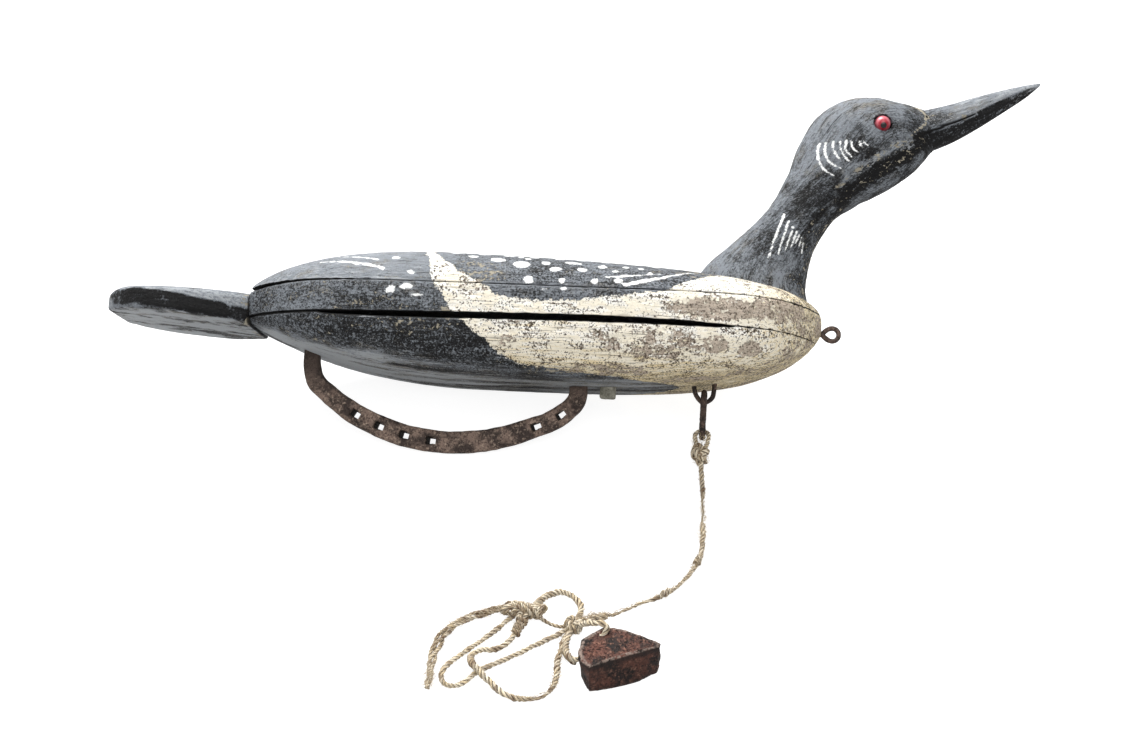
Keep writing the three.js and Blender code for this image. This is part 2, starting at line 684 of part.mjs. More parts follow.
// A U of round wire driven into the belly, its bend pointing down.
function bellyStaple() {
  const belly = WAIST_HEIGHT - bodySize(STAPLE_X).down;
  const reach = STAPLE_WIDTH / 2;
  const bend = belly - STAPLE_REACH + STAPLE_WIRE / 2;
  const shoulder = belly - STAPLE_SHOULDER;
  const [rearOut, rearUp] = STAPLE_REAR_BEND;
  const [frontOut, frontUp] = STAPLE_FRONT_BEND;
  const curve = new THREE.CatmullRomCurve3([
    new THREE.Vector3(STAPLE_X - reach - STAPLE_SPLAY, 0, belly + CUT_MARGIN),
    new THREE.Vector3(STAPLE_X - reach, 0, shoulder),
    new THREE.Vector3(STAPLE_X - reach * rearOut, 0, bend + reach * rearUp),
    new THREE.Vector3(STAPLE_X, 0, bend),
    new THREE.Vector3(STAPLE_X + reach * frontOut, 0, bend + reach * frontUp),
    new THREE.Vector3(STAPLE_X + reach, 0, shoulder),
    new THREE.Vector3(STAPLE_X + reach, 0, belly + 2 * CUT_MARGIN),
  ], false, 'centripetal');
  return subtract(wire(curve, STAPLE_WIRE), bodyForm(FIT_GAP));
}

// A long oval link, its axis along Z and its middle plane across X.
function longLink() {
  const radius = (LINK_WIDTH - LINK_WIRE) / 2;
  const straight = LINK_LENGTH - LINK_WIDTH;
  const centres = [];
  const half = WIRE_STEPS / 2;
  for (let step = 0; step <= half; step += 1) {
    const angle = Math.PI * step / half;
    centres.push(new THREE.Vector3(0, radius * Math.cos(angle), straight / 2 + radius * Math.sin(angle)));
  }
  for (let step = 0; step <= half; step += 1) {
    const angle = Math.PI * (1 + step / half);
    centres.push(new THREE.Vector3(0, radius * Math.cos(angle), -straight / 2 + radius * Math.sin(angle)));
  }
  const rings = centres.map((centre, at) => {
    const before = centres[(at + centres.length - 1) % centres.length];
    const after = centres[(at + 1) % centres.length];
    const along = after.clone().sub(before).normalize();
    const out = new THREE.Vector3(1, 0, 0).cross(along);
    return Array.from({ length: WIRE_SIDES }, (_, side) => {
      const angle = (side + 0.5) * 2 * Math.PI / WIRE_SIDES;
      return centre.clone()
        .addScaledVector(out, LINK_WIRE / 2 * Math.cos(angle))
        .add(new THREE.Vector3(LINK_WIRE / 2 * Math.sin(angle), 0, 0));
    });
  });
  return closedSkin(rings);
}

// Skin rings that go all the way round, back to the first.
function closedSkin(rings) {
  const count = rings[0].length;
  const faces = [];
  for (let ring = 0; ring < rings.length; ring += 1) {
    const after = (ring + 1) % rings.length;
    for (let side = 0; side < count; side += 1) {
      const next = (side + 1) % count;
      faces.push(ring * count + side, ring * count + next, after * count + next);
      faces.push(ring * count + side, after * count + next, after * count + side);
    }
  }
  const geometry = new THREE.BufferGeometry().setFromPoints(rings.flat());
  geometry.setIndex(faces);
  return outward(geometry);
}

// A ring bent on the end of a shank, its plane upright and along the bird.
function breastRing() {
  const radius = (RING_OUTER - RING_WIRE) / 2;
  const centreX = BODY_LENGTH + RING_OUTER / 2 + RING_STAND_OFF;
  const ring = new THREE.TorusGeometry(radius, RING_WIRE / 2, WIRE_SIDES, WIRE_STEPS);
  ring.rotateX(Math.PI / 2).translate(centreX, 0, RING_Z);
  const shank = new THREE.CylinderGeometry(RING_SHANK / 2, RING_SHANK / 2, RING_OUTER, WIRE_SIDES);
  shank.rotateZ(Math.PI / 2).translate(centreX - radius - RING_OUTER / 2 + RING_OVERLAP, 0, RING_Z);
  return subtract(join(ring, shank), bodyForm(FIT_GAP));
}

const bird = new THREE.Group();
bird.add(
  ...boards(),
  piece('tail_paddle', tailPaddle(), 'black_paint'),
  piece('neck_and_head', neckAndHead(), 'black_paint'),
  piece('beak', beak(), 'black_paint'),
  piece('eye_right', bead(-1, EYE_DIAMETER / 2), 'red_glass'),
  piece('eye_left', bead(1, EYE_DIAMETER / 2), 'red_glass'),
  piece('horseshoe', horseshoe(), 'rusty_iron'),
  piece('square_stud', squareStud(), 'grey_iron'),
  piece('belly_staple', bellyStaple(), 'dark_iron'),
  piece('breast_ring', breastRing(), 'dark_iron'),
);

// The turn that lays a rigid group on the stable side nearest to a wanted direction.
function restingTurn(group, wanted) {
  const corners = [];
  const centre = new THREE.Vector3();
  let mass = 0;
  for (const mesh of group.children) {
    const spot = mesh.geometry.attributes.position;
    for (let at = 0; at < spot.count; at += 1) {
      corners.push(new THREE.Vector3().fromBufferAttribute(spot, at));
    }
    const part = balance(mesh.geometry);
    const density = mesh.material.metalness > 0 ? IRON_DENSITY : WOOD_DENSITY;
    centre.addScaledVector(part.centre, part.volume * density);
    mass += part.volume * density;
  }
  centre.divideScalar(mass);
  const stable = new ConvexHull().setFromPoints(corners).faces.filter((face) => {
    const foot = centre.clone().addScaledVector(face.normal, -face.distanceToPoint(centre));
    const [a, b, c] = [face.edge.prev, face.edge, face.edge.next].map((edge) => edge.head().point);
    return new THREE.Triangle(a, b, c).containsPoint(foot);
  });
  stable.sort((one, other) => other.normal.dot(wanted) - one.normal.dot(wanted));
  const down = stable[0].normal;
  const forward = new THREE.Vector3(1, 0, 0).projectOnPlane(down).normalize();
  const left = down.clone().negate().cross(forward);
  return new THREE.Matrix4().makeBasis(forward, left, down.clone().negate()).transpose();
}

bird.applyMatrix4(restingTurn(bird, new THREE.Vector3(...RESTING_SIDE).normalize()));
bird.updateMatrixWorld(true);

// Centre the lying bird over the origin, its lowest point a flat's depth below the floor.
const lying = new THREE.Box3().setFromObject(bird, true);
const middleOfBird = lying.getCenter(new THREE.Vector3());
bird.position.sub(new THREE.Vector3(middleOfBird.x, middleOfBird.y, lying.min.z + REST_FLAT));
bird.updateMatrixWorld(true);

// Wear the flats that it rests on.
function wearFlats(group) {
  const size = 2 * BODY_LENGTH + TAIL_LENGTH;
  const room = new THREE.BoxGeometry(2 * size, 2 * size, size).translate(0, 0, size / 2);
  room.applyMatrix4(group.matrixWorld.clone().invert());
  for (const mesh of group.children) {
    if (new THREE.Box3().setFromObject(mesh, true).min.z < 0) {
      mesh.geometry = intersect(mesh.geometry, room);
    }
  }
}

wearFlats(bird);

const decoy = new THREE.Group();
decoy.add(bird);

// The link hangs in the staple's bend and slants down to the floor.
const stapleBend = new THREE.Vector3(
  STAPLE_X,
  0,
  WAIST_HEIGHT - bodySize(STAPLE_X).down - STAPLE_REACH + STAPLE_WIRE / 2,
).applyMatrix4(bird.matrixWorld);
const link = piece('staple_link', longLink(), 'dark_iron');
const hook = (LINK_LENGTH - LINK_WIDTH) / 2 - (LINK_WIDTH / 2 - LINK_WIRE - STAPLE_WIRE / 2 - FIT_GAP);
const slant = THREE.MathUtils.degToRad(LINK_SLANT);
link.rotation.x = -slant;
link.position.copy(stapleBend).add(new THREE.Vector3(0, -hook * Math.sin(slant), -hook * Math.cos(slant)));
decoy.add(link);

function curveThrough(points) {
  const places = points.map((point) => new THREE.Vector3(...point));
  return new THREE.CatmullRomCurve3(places, false, 'centripetal');
}

// A length of line through its points, with a ring of corners for every step of its length.
function line(points, { diameter = LINE_DIAMETER, stride = LINE_STRIDE } = {}) {
  const curve = curveThrough(points);
  const steps = Math.max(Math.round(curve.getLength() / (stride * diameter)), 2);
  return wire(curve, diameter, steps);
}

// Turns of line wound side by side from one point to another, grown by a margin where they cut.
function winding({ from, to, width, height, turns }, grow = 0) {
  const start = new THREE.Vector3(...from);
  const run = new THREE.Vector3(...to).sub(start);
  const across = new THREE.Vector3(0, 0, 1).cross(run).normalize();
  const rise = run.clone().cross(across).normalize();
  start.addScaledVector(run, -grow / run.length());
  run.setLength(run.length() + 2 * grow);
  const rings = [];
  for (let step = 0; step <= 2 * turns; step += 1) {
    const closing = step === 0 || step === 2 * turns;
    const hill = step % 2 === 1 ? 1 : GROOVE_DEPTH;
    const fullness = closing ? WINDING_END : hill;
    const centre = start.clone().addScaledVector(run, step / (2 * turns));
    const ring = roundSection({
      half: width / 2 * fullness + grow,
      up: height / 2 * fullness + grow,
      down: height / 2 * fullness + grow,
      fullUp: KNOT_FULLNESS,
      fullDown: KNOT_FULLNESS,
      sides: KNOT_SIDES,
    });
    rings.push(ring.map((p) => (
      centre.clone().addScaledVector(across, p.across).addScaledVector(rise, p.along)
    )));
  }
  return skin(rings);
}

function linkKnot() {
  return join(winding(LINK_KNOT), line(LINK_BIGHT, { stride: LINK_BIGHT_STRIDE }));
}

function weightKnot(grow = 0) {
  const turns = WEIGHT_KNOT.map((knot) => winding(knot, grow));
  const loop = line(WEIGHT_LOOP, { diameter: LINE_DIAMETER + 2 * grow, stride: WEIGHT_LOOP_STRIDE });
  return join(...turns, loop);
}

function spareLine() {
  const runs = [FIRST_LOOP, RING_LOOP, SECOND_LOOP, TIE].map((points) => line(points));
  const end = line(FREE_END, { diameter: FREE_END_DIAMETER, stride: FREE_END_STRIDE });
  const whippings = WHIPPINGS.map((whipping) => winding(whipping));
  return subtract(join(...runs, end, ...whippings), weightKnot(FIT_GAP));
}

// The wedge as four rings: the foot, the top, and a chamfer inside each.
function anchorWeight() {
  const ring = (column, height, share) => WEIGHT_PLAN.map((corner) => new THREE.Vector3(
    corner[column] * share + WEIGHT_PLACE[0],
    corner[column + 1] * share + WEIGHT_PLACE[1],
    height,
  ));
  const reach = Math.max(...WEIGHT_PLAN.map(([x, y]) => Math.hypot(x, y)));
  const inset = 1 - WEIGHT_CHAMFER / reach;
  const block = skin([
    ring(0, 0, inset),
    ring(0, WEIGHT_CHAMFER, 1),
    ring(2, WEIGHT_HEIGHT - WEIGHT_CHAMFER, 1),
    ring(2, WEIGHT_HEIGHT, inset),
  ]);
  const bore = wire(curveThrough([LOOP_HOLE.from, LOOP_HOLE.to]), LOOP_HOLE.width, 1);
  return subtract(block, bore);
}

const tackle = new THREE.Group();
tackle.add(
  piece('link_knot', linkKnot(), 'hemp'),
  piece('anchor_line', line(ANCHOR_LINE), 'hemp'),
  piece('weight_knot', weightKnot(), 'hemp'),
  piece('spare_line', spareLine(), 'hemp'),
  piece('anchor_weight', anchorWeight(), 'red_rust'),
);
link.updateMatrixWorld(true);
const lowerEye = new THREE.Vector3(0, 0, (LINK_WIDTH - LINK_LENGTH) / 2).applyMatrix4(link.matrixWorld);
tackle.position.set(lowerEye.x, lowerEye.y, 0);
decoy.add(tackle);

export default decoy;
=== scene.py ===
"""Visual model of a carved loon decoy that lies on its left side, with its keel, line and weight.

Shapes are worked out in millimetres in the part's own axes and then placed in the room:
the bird's axes run forward, to its left and up its back, and the tackle's lie on the floor.
"""

import logging
from dataclasses import dataclass, field
from enum import Enum
from typing import Callable, Sequence

import bpy
import numpy as np
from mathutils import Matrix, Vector


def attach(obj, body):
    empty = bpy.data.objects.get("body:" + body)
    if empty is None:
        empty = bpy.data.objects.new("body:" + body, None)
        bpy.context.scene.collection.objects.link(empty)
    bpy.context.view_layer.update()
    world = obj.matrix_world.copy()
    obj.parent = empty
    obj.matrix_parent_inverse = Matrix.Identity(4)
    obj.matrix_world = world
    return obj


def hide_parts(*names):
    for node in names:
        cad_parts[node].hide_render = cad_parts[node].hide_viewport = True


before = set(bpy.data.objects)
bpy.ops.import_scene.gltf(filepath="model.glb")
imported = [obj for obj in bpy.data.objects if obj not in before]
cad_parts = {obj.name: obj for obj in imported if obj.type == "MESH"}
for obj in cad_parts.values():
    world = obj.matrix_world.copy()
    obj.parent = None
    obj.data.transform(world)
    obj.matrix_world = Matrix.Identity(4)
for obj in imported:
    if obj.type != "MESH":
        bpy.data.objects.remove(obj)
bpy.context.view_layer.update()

Array = np.ndarray
Points = Sequence[Sequence[float]]
Triple = tuple[float, float, float]
Item = bpy.types.Object
Material = bpy.types.Material
log = logging.getLogger("decoy")

MM = 0.001
TOUCHING = 1e-4
UP = np.array([0, 0, 1.0])
BODY = "root"


class Slot(Enum):
    """The record's material slots."""

    PAINT = "painted_wood"
    GLASS = "eye_glass"
    SHOE = "horseshoe_iron"
    STUD = "stud_iron"
    DARK_IRON = "dark_iron"
    HEMP = "hemp"
    WEIGHT = "weight_iron"


class Side(Enum):
    """A side of the bird, as the sign of its left-hand axis."""

    RIGHT = -1
    LEFT = 1


class Mark(Enum):
    """Values that a mesh carries at its points for its material to read."""

    CREAM = "cream"
    WHITE = "white"
    WORN = "worn"
    # How rubbed pale a place is; on some rims, ridges and edges it is a painted highlight.
    EDGE = "edge"
    BARE = "bare"
    # Painted shade in cracks, seams, holes, grooves and recesses.
    INNER = "inner"
    # How dark the paint or iron is; in some places it is painted shade.
    SHADE = "shade"
    # Painted shade between the yarns of a line.
    GROOVE = "groove"
    SMOOTH = "smooth"


Marks = dict[Mark, Array]
Finishes = dict[Slot, Material]


@dataclass(frozen=True)
class Pose:
    """Where a group of pieces lies: its origin in millimetres, and its X, Y and Z as rows of the axes."""

    origin: Triple
    axes: Points = ((1, 0, 0), (0, 1, 0), (0, 0, 1))

    def place(self, points: Array) -> Array:
        """The group's own millimetres turned into metres in the room, no lower than the floor."""
        room = (points @ np.array(self.axes) + np.array(self.origin)) * MM
        return np.maximum(room, (-np.inf, -np.inf, 0))


BIRD = Pose(
    origin=(-270.871, -48.004, 75.387),
    axes=((0.99999, 0, -0.004429), (-0.003197, 0.691901, -0.721985), (0.003064, 0.721993, 0.691894)),
)
TACKLE = Pose(origin=(116.464, -90.513, 0))


# Numbers over whole arrays.


def blend(low: float, high: float, value: Array) -> Array:
    """Three squares less two cubes of the way from the low value to the high one, from 0 to 1."""
    share = np.clip((value - low) / (high - low), 0, 1)
    return share * share * (3 - 2 * share)


def spread(count: int, crowding: float = 0.0) -> Array:
    """Even shares from 0 to 1, less a sine of one turn that crowds them towards both ends."""
    even = np.linspace(0, 1, count)
    return even - crowding * np.sin(2 * np.pi * even) / (2 * np.pi)


def around(count: int) -> Array:
    """Angles of a whole turn in even steps."""
    return np.linspace(0, 2 * np.pi, count, endpoint=False)


def unit(vectors: Array) -> Array:
    """Scale each vector to a length of one."""
    return vectors / np.maximum(np.linalg.norm(vectors, axis=-1, keepdims=True), 1e-9)


class Noise:
    """Smooth seeded noise: random lattice values, blended between their eight nearest."""

    length = 4096
    primes = (73856093, 19349663, 83492791)

    def __init__(self, seed: int) -> None:
        """Fill the table of lattice values from a seed."""
        self.table = np.random.default_rng(seed).uniform(-1, 1, self.length)

    def once(self, points: Array) -> Array:
        """Blend the lattice values round each point.

        Args:
            points: Points whose last axis holds three numbers, one lattice step to the unit.

        Returns:
            Values from -1 to 1.
        """
        cell = np.floor(points).astype(np.int64)
        part = points - cell
        part = part * part * (3 - 2 * part)
        total = np.zeros(points.shape[:-1])
        for corner in range(8):
            bit = np.array([corner & 1, corner >> 1 & 1, corner >> 2 & 1])
            key = np.bitwise_xor.reduce((cell + bit) * self.primes, axis=-1) % self.length
            total += np.prod(np.where(bit, part, 1 - part), axis=-1) * self.table[key]
        return total

    def at(self, points: Array, size: float | Sequence[float], layers: int = 1) -> Array:
        """Layers of noise from lumps of a size in millimetres, each layer half the one before."""
        scaled = points / np.array(size, dtype=float)
        return sum(self.once(scaled * 2 ** n + 17.3 * n) * 0.5 ** n for n in range(layers))


class Curve:
    """A centripetal Catmull-Rom curve through points, the same as the solids follow."""

    def __init__(self, points: Points) -> None:
        """Keep the points, of any dimension, with one more beyond each end."""
        middle = np.array(points, dtype=float)
        self.padded = np.vstack([2 * middle[0] - middle[1], middle, 2 * middle[-1] - middle[-2]])

    def at(self, share: Array) -> Array:
        """Points at shares of the way, each span between two points taking an equal share.

        Args:
            share: Shares from 0 to 1.

        Returns:
            One point for each share: a cubic whose end slopes weigh the neighbours by the
            square roots of their distances.
        """
        spans = len(self.padded) - 3
        place = np.clip(share, 0, 1) * spans
        index = np.minimum(place.astype(int), spans - 1)
        step = (place - index)[..., None]
        a, b, c, d = (self.padded[index + n] for n in range(4))
        first, inner, last = (np.sqrt(np.linalg.norm(far - near, axis=-1, keepdims=True))
                              for near, far in ((a, b), (b, c), (c, d)))
        inner = np.where(inner < TOUCHING, 1, inner)
        first, last = (np.where(gap < TOUCHING, inner, gap) for gap in (first, last))
        leave = ((b - a) / first - (c - a) / (first + inner) + (c - b) / inner) * inner
        arrive = ((c - b) / inner - (d - b) / (inner + last) + (d - c) / last) * inner
        cubic = 2 * b - 2 * c + leave + arrive
        square = 3 * c - 3 * b - 2 * leave - arrive
        return ((cubic * step + square) * step + leave) * step + b

    def even(self, spacing: float) -> Array:
        """Points at an even spacing along the whole curve.

        Args:
            spacing: Wanted distance between points; the real one divides the length evenly.

        Returns:
            Points from one end of the curve to the other.
        """
        fine = self.at(np.linspace(0, 1, 60 * (len(self.padded) - 2)))
        run = along(fine)
        marks = np.linspace(0, run[-1], max(int(round(run[-1] / spacing)), 2) + 1)
        return np.stack([np.interp(marks, run, column) for column in fine.T], axis=1)


def along(path: Array) -> Array:
    """Distance from the start of a path to each of its points."""
    return np.concatenate([[0], np.cumsum(np.linalg.norm(np.diff(path, axis=0), axis=1))])


# Distances on a painted surface, positive inside what is painted.


def to_line(spots: Array, start: Array, end: Array) -> tuple[Array, Array]:
    """Distance from spots to a straight line, and the share of the line at the nearest place."""
    share = np.clip((spots - start) @ (end - start) / ((end - start) @ (end - start)), 0, 1)
    return np.linalg.norm(spots - start - share[:, None] * (end - start), axis=1), share


def inside_outline(spots: Array, outline: Points) -> Array:
    """Signed distance from spots to a closed outline.

    Args:
        spots: Places on the surface, two numbers each.
        outline: Corners of the outline in order.

    Returns:
        The distance to the nearest side, positive where a line from the spot crosses the
        outline an odd number of times.
    """
    corners = np.array(outline, dtype=float)
    ends = np.roll(corners, -1, axis=0)
    nearest = np.full(len(spots), np.inf)
    inside = np.zeros(len(spots), dtype=bool)
    for start, end in zip(corners, ends):
        side = end - start
        nearest = np.minimum(nearest, to_line(spots, start, end)[0])
        crosses = (start[1] > spots[:, 1]) != (end[1] > spots[:, 1])
        level = (spots[:, 1] - start[1]) / (side[1] if side[1] else 1e-9)
        inside ^= crosses & (spots[:, 0] < start[0] + level * side[0])
    return np.where(inside, nearest, -nearest)


@dataclass(frozen=True)
class Stroke:
    """A brush stroke through points, with its greatest width in millimetres."""

    width: float
    points: Points

    def depth(self, spots: Array) -> Array:
        """Half the stroke's width, thinning by a cube to its end, less the distance to its line.

        Args:
            spots: Places on the surface, two numbers each.

        Returns:
            How deep each lies inside the stroke, negative outside it.
        """
        line = Curve(self.points).at(np.linspace(0, 1, 4 * len(self.points)))
        best = np.full(len(spots), -1e3)
        count = len(line) - 1
        for number, (start, end) in enumerate(zip(line[:-1], line[1:])):
            gap, share = to_line(spots, start, end)
            thin = 1 - 0.55 * ((number + share) / count) ** 3
            best = np.maximum(best, self.width / 2 * thin - gap)
        return best


@dataclass(frozen=True)
class Spot:
    """An oval dab of paint: its place, its length along the bird and its height."""

    x: float
    y: float
    length: float
    height: float

    def depth(self, spots: Array) -> Array:
        """The oval's smaller radius times one less the scaled distance from its middle."""
        way = (spots - (self.x, self.y)) / (self.length / 2, self.height / 2)
        return (1 - np.linalg.norm(way, axis=1)) * min(self.length, self.height) / 2


def deepest(dabs: Sequence[Stroke | Spot], spots: Array) -> Array:
    """Greatest depth of each spot inside any of the dabs."""
    return np.maximum.reduce([dab.depth(spots) for dab in dabs])


def side_depth(points: Array, *dabs: Stroke | Spot) -> Array:
    """Greatest depth of a grid's points inside dabs laid out on the middle plane."""
    return deepest(dabs, points[..., [0, 2]].reshape(-1, 2)).reshape(points.shape[:2])


# Surfaces.


@dataclass
class Surface:
    """A closed mesh in the making: points, four-sided faces and triangles.

    Its marks are values at the points, and its places are what a pattern reads there.
    """

    points: Array
    quads: Array
    fans: Array
    marks: Marks = field(default_factory=dict)
    places: Array | None = None

    def outward(self) -> "Surface":
        """Turn all faces round if they point inwards, by the sum of their triple products.

        Returns:
            The same surface.
        """
        halves = np.vstack([self.fans, self.quads[:, [0, 1, 2]], self.quads[:, [0, 2, 3]]])
        if np.linalg.det(self.points[halves]).sum() < 0:
            self.quads = self.quads[:, ::-1]
            self.fans = self.fans[:, ::-1]
        return self


def loft(rings: Array, marks: Marks | None = None, places: Array | None = None,
         looped: bool = False) -> Surface:
    """Join a row of rings, and close both ends with a fan unless the row is looped.

    Args:
        rings: Points as rows of rings, each row closed on itself.
        marks: Values for the same grid.
        places: Pattern places for the same grid; the points themselves if left out.
        looped: Whether the last ring joins the first.

    Returns:
        The closed surface.
    """
    rows, columns = rings.shape[:2]
    index = np.arange(rows * columns).reshape(rows, columns)
    nearer = index if looped else index[:-1]
    further = np.roll(index, -1, axis=0) if looped else index[1:]
    quads = np.stack([nearer, np.roll(nearer, -1, 1), np.roll(further, -1, 1), further], axis=-1)
    grids = {"points": rings, "places": rings if places is None else places}
    grids.update({mark: values[..., None] for mark, values in (marks or {}).items()})
    fans = np.zeros((0, 3), dtype=int)
    flat = {name: values.reshape(rows * columns, -1) for name, values in grids.items()}
    if not looped:
        first, last = rows * columns, rows * columns + 1
        ends = [np.stack([np.full(columns, tip), ring, np.roll(ring, -1)], axis=1)
                for tip, ring in ((first, index[0][::-1]), (last, index[-1]))]
        fans = np.vstack(ends)
        flat = {name: np.vstack([values, grids[name][[0, -1]].mean(axis=1)])
                for name, values in flat.items()}
    points, placed = flat.pop("points"), flat.pop("places")
    values = {mark: column[:, 0] for mark, column in flat.items()}
    return Surface(points, quads.reshape(-1, 4), fans, values, placed).outward()


def gather(parts: Sequence[Surface]) -> Surface:
    """Put several surfaces into one.

    Args:
        parts: Surfaces with the same marks.

    Returns:
        One surface with all their points and faces.
    """
    starts = np.cumsum([0] + [len(part.points) for part in parts[:-1]])
    return Surface(
        np.vstack([part.points for part in parts]),
        np.vstack([part.quads + start for part, start in zip(parts, starts)]),
        np.vstack([part.fans + start for part, start in zip(parts, starts)]),
        {mark: np.concatenate([part.marks[mark] for part in parts]) for mark in parts[0].marks},
        np.vstack([part.places for part in parts]),
    )


@dataclass(frozen=True)
class Piece:
    """What a surface becomes: an object in a slot that stands for CAD nodes.

    Its crease is the angle in degrees above which an edge stays sharp.
    """

    name: str
    slot: Slot
    nodes: tuple[str, ...] = ()
    crease: float = 60.0

    def make(self, surface: Surface, pose: Pose, finishes: Finishes) -> Item:
        """Build the object, dress it and hang it on the body.

        Args:
            surface: The shape, in its group's own axes.
            pose: Where that group lies.
            finishes: The decoy's finishes.

        Returns:
            The new object.
        """
        mesh = bpy.data.meshes.new(self.name)
        points = pose.place(surface.points)
        mesh.vertices.add(len(points))
        mesh.vertices.foreach_set("co", points.ravel())
        corners = np.concatenate([surface.quads.ravel(), surface.fans.ravel()])
        totals = np.concatenate([np.full(len(surface.quads), 4), np.full(len(surface.fans), 3)])
        mesh.loops.add(len(corners))
        mesh.loops.foreach_set("vertex_index", corners)
        mesh.polygons.add(len(totals))
        mesh.polygons.foreach_set("loop_start", np.cumsum(totals) - totals)
        mesh.polygons.foreach_set("use_smooth", np.ones(len(totals), dtype=bool))
        mesh.update(calc_edges=True)
        mesh.set_sharp_from_angle(angle=np.radians(self.crease))
        for mark, values in surface.marks.items():
            layer = mesh.attributes.new(mark.value, "FLOAT", "POINT")
            layer.data.foreach_set("value", values.astype(np.float32))
        place = mesh.attributes.new("place", "FLOAT_VECTOR", "POINT")
        place.data.foreach_set("vector", (surface.places * MM).astype(np.float32).ravel())
        mesh.materials.append(finishes[self.slot])
        item = bpy.data.objects.new(self.name, mesh)
        bpy.context.collection.objects.link(item)
        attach(item, BODY)
        if self.nodes:
            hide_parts(*self.nodes)
        log.info("%s: %d points, %d faces", self.name, len(points), len(totals))
        return item


# Node work.

Socket = bpy.types.NodeSocket
Value = Socket | float | tuple[float, ...]


class Graph:
    """Adds and links nodes in the node tree of a material or a group."""

    def __init__(self, tree: bpy.types.NodeTree) -> None:
        """Keep the tree."""
        self.tree = tree

    def node(self, kind: str, inputs: dict[str | int, Value] | None = None,
             **settings: object) -> bpy.types.Node:
        """Add a node.

        Args:
            kind: Blender's name of the node type.
            inputs: What each input takes: a socket to link from, or a fixed value.
            settings: Properties of the node itself.

        Returns:
            The new node.
        """
        made = self.tree.nodes.new(kind)
        for name, setting in settings.items():
            setattr(made, name, setting)
        for name, value in (inputs or {}).items():
            self.feed(made.inputs[name], value)
        return made

    def feed(self, socket: Socket, value: Value) -> None:
        """Link a socket into an input, or set the input to a fixed value.

        Args:
            socket: The input.
            value: What it takes.
        """
        if isinstance(value, bpy.types.NodeSocket):
            self.tree.links.new(value, socket)
        else:
            socket.default_value = value

    def math(self, operation: str, *values: Value) -> Socket:
        """The result of one arithmetic step on up to three values."""
        return self.node("ShaderNodeMath", dict(enumerate(values)), operation=operation).outputs[0]

    def total(self, start: Value, *terms: tuple[Socket, Value]) -> Socket:
        """Add up weighted values.

        Args:
            start: What the sum starts from.
            terms: Values, each with its weight.

        Returns:
            The start plus each value times its weight.
        """
        for value, weight in terms:
            start = self.math("MULTIPLY_ADD", value, weight, start)
        return start

    def stretch(self, vector: Value, scale: Triple) -> Socket:
        """A vector multiplied axis by axis."""
        return self.node("ShaderNodeVectorMath", {0: vector, 1: scale}, operation="MULTIPLY").outputs[0]

    def noise(self, vector: Value, scale: float, detail: float, rough: float) -> Socket:
        """Fractal noise of about 0.3 to 0.7."""
        inputs = {"Vector": vector, "Scale": scale, "Detail": detail, "Roughness": rough}
        return self.node("ShaderNodeTexNoise", inputs).outputs[0]

    def cells(self, vector: Value, scale: float) -> Socket:
        """Distance to the nearest of scattered points."""
        return self.node("ShaderNodeTexVoronoi", {"Vector": vector, "Scale": scale}).outputs["Distance"]

    def rise(self, value: Value, low: Value, high: Value, top: float = 1.0) -> Socket:
        """A smooth step from nothing at the low value to the top at the high one."""
        inputs = {"Value": value, "From Min": low, "From Max": high, "To Min": 0.0, "To Max": top}
        return self.node("ShaderNodeMapRange", inputs, interpolation_type="SMOOTHSTEP").outputs[0]

    def mix(self, share: Value, first: Value, second: Value) -> Socket:
        """A colour between two others.

        Args:
            share: Share of the second, from 0 to 1.
            first: Colour at nothing.
            second: Colour at one.

        Returns:
            The mixed colour.
        """
        made = self.node("ShaderNodeMix", data_type="RGBA")
        for index, value in ((0, share), (6, first), (7, second)):
            self.feed(made.inputs[index], value)
        return made.outputs[2]

    def mark(self, mark: Mark) -> Socket:
        """A value that the mesh carries."""
        return self.node("ShaderNodeAttribute", attribute_name=mark.value).outputs["Fac"]

    def place(self) -> Socket:
        """The pattern place that the mesh carries."""
        return self.node("ShaderNodeAttribute", attribute_name="place").outputs["Vector"]


Build = Callable[[Graph, dict[str, Socket]], dict[str, Value]]


@dataclass(frozen=True)
class Effect:
    """A shared effect, kept as a node group whose outputs are all values.

    The inputs' types and default values go by name, and the build function adds the nodes.
    """

    name: str
    build: Build
    inputs: dict[str, tuple[str, float | None]]

    def group(self) -> bpy.types.NodeTree:
        """Make the group the first time, and give the same one after that.

        Returns:
            The node group.
        """
        tree = bpy.data.node_groups.get(self.name)
        if tree:
            return tree
        tree = bpy.data.node_groups.new(self.name, "ShaderNodeTree")
        for name, (kind, default) in self.inputs.items():
            socket = tree.interface.new_socket(name, in_out="INPUT", socket_type=kind)
            if default is not None:
                socket.default_value = default
        graph = Graph(tree)
        entry = graph.node("NodeGroupInput")
        results = self.build(graph, {name: entry.outputs[name] for name in self.inputs})
        for name in results:
            tree.interface.new_socket(name, in_out="OUTPUT", socket_type="NodeSocketFloat")
        graph.node("NodeGroupOutput", results)
        return tree

    def use(self, graph: Graph, inputs: dict[str, Value]) -> dict[str, Socket]:
        """Place the group in a material.

        Args:
            graph: The material's nodes.
            inputs: What each input takes.

        Returns:
            The group's outputs by name.
        """
        made = graph.node("ShaderNodeGroup", node_tree=self.group())
        for name, value in inputs.items():
            graph.feed(made.inputs[name], value)
        return dict(made.outputs.items())


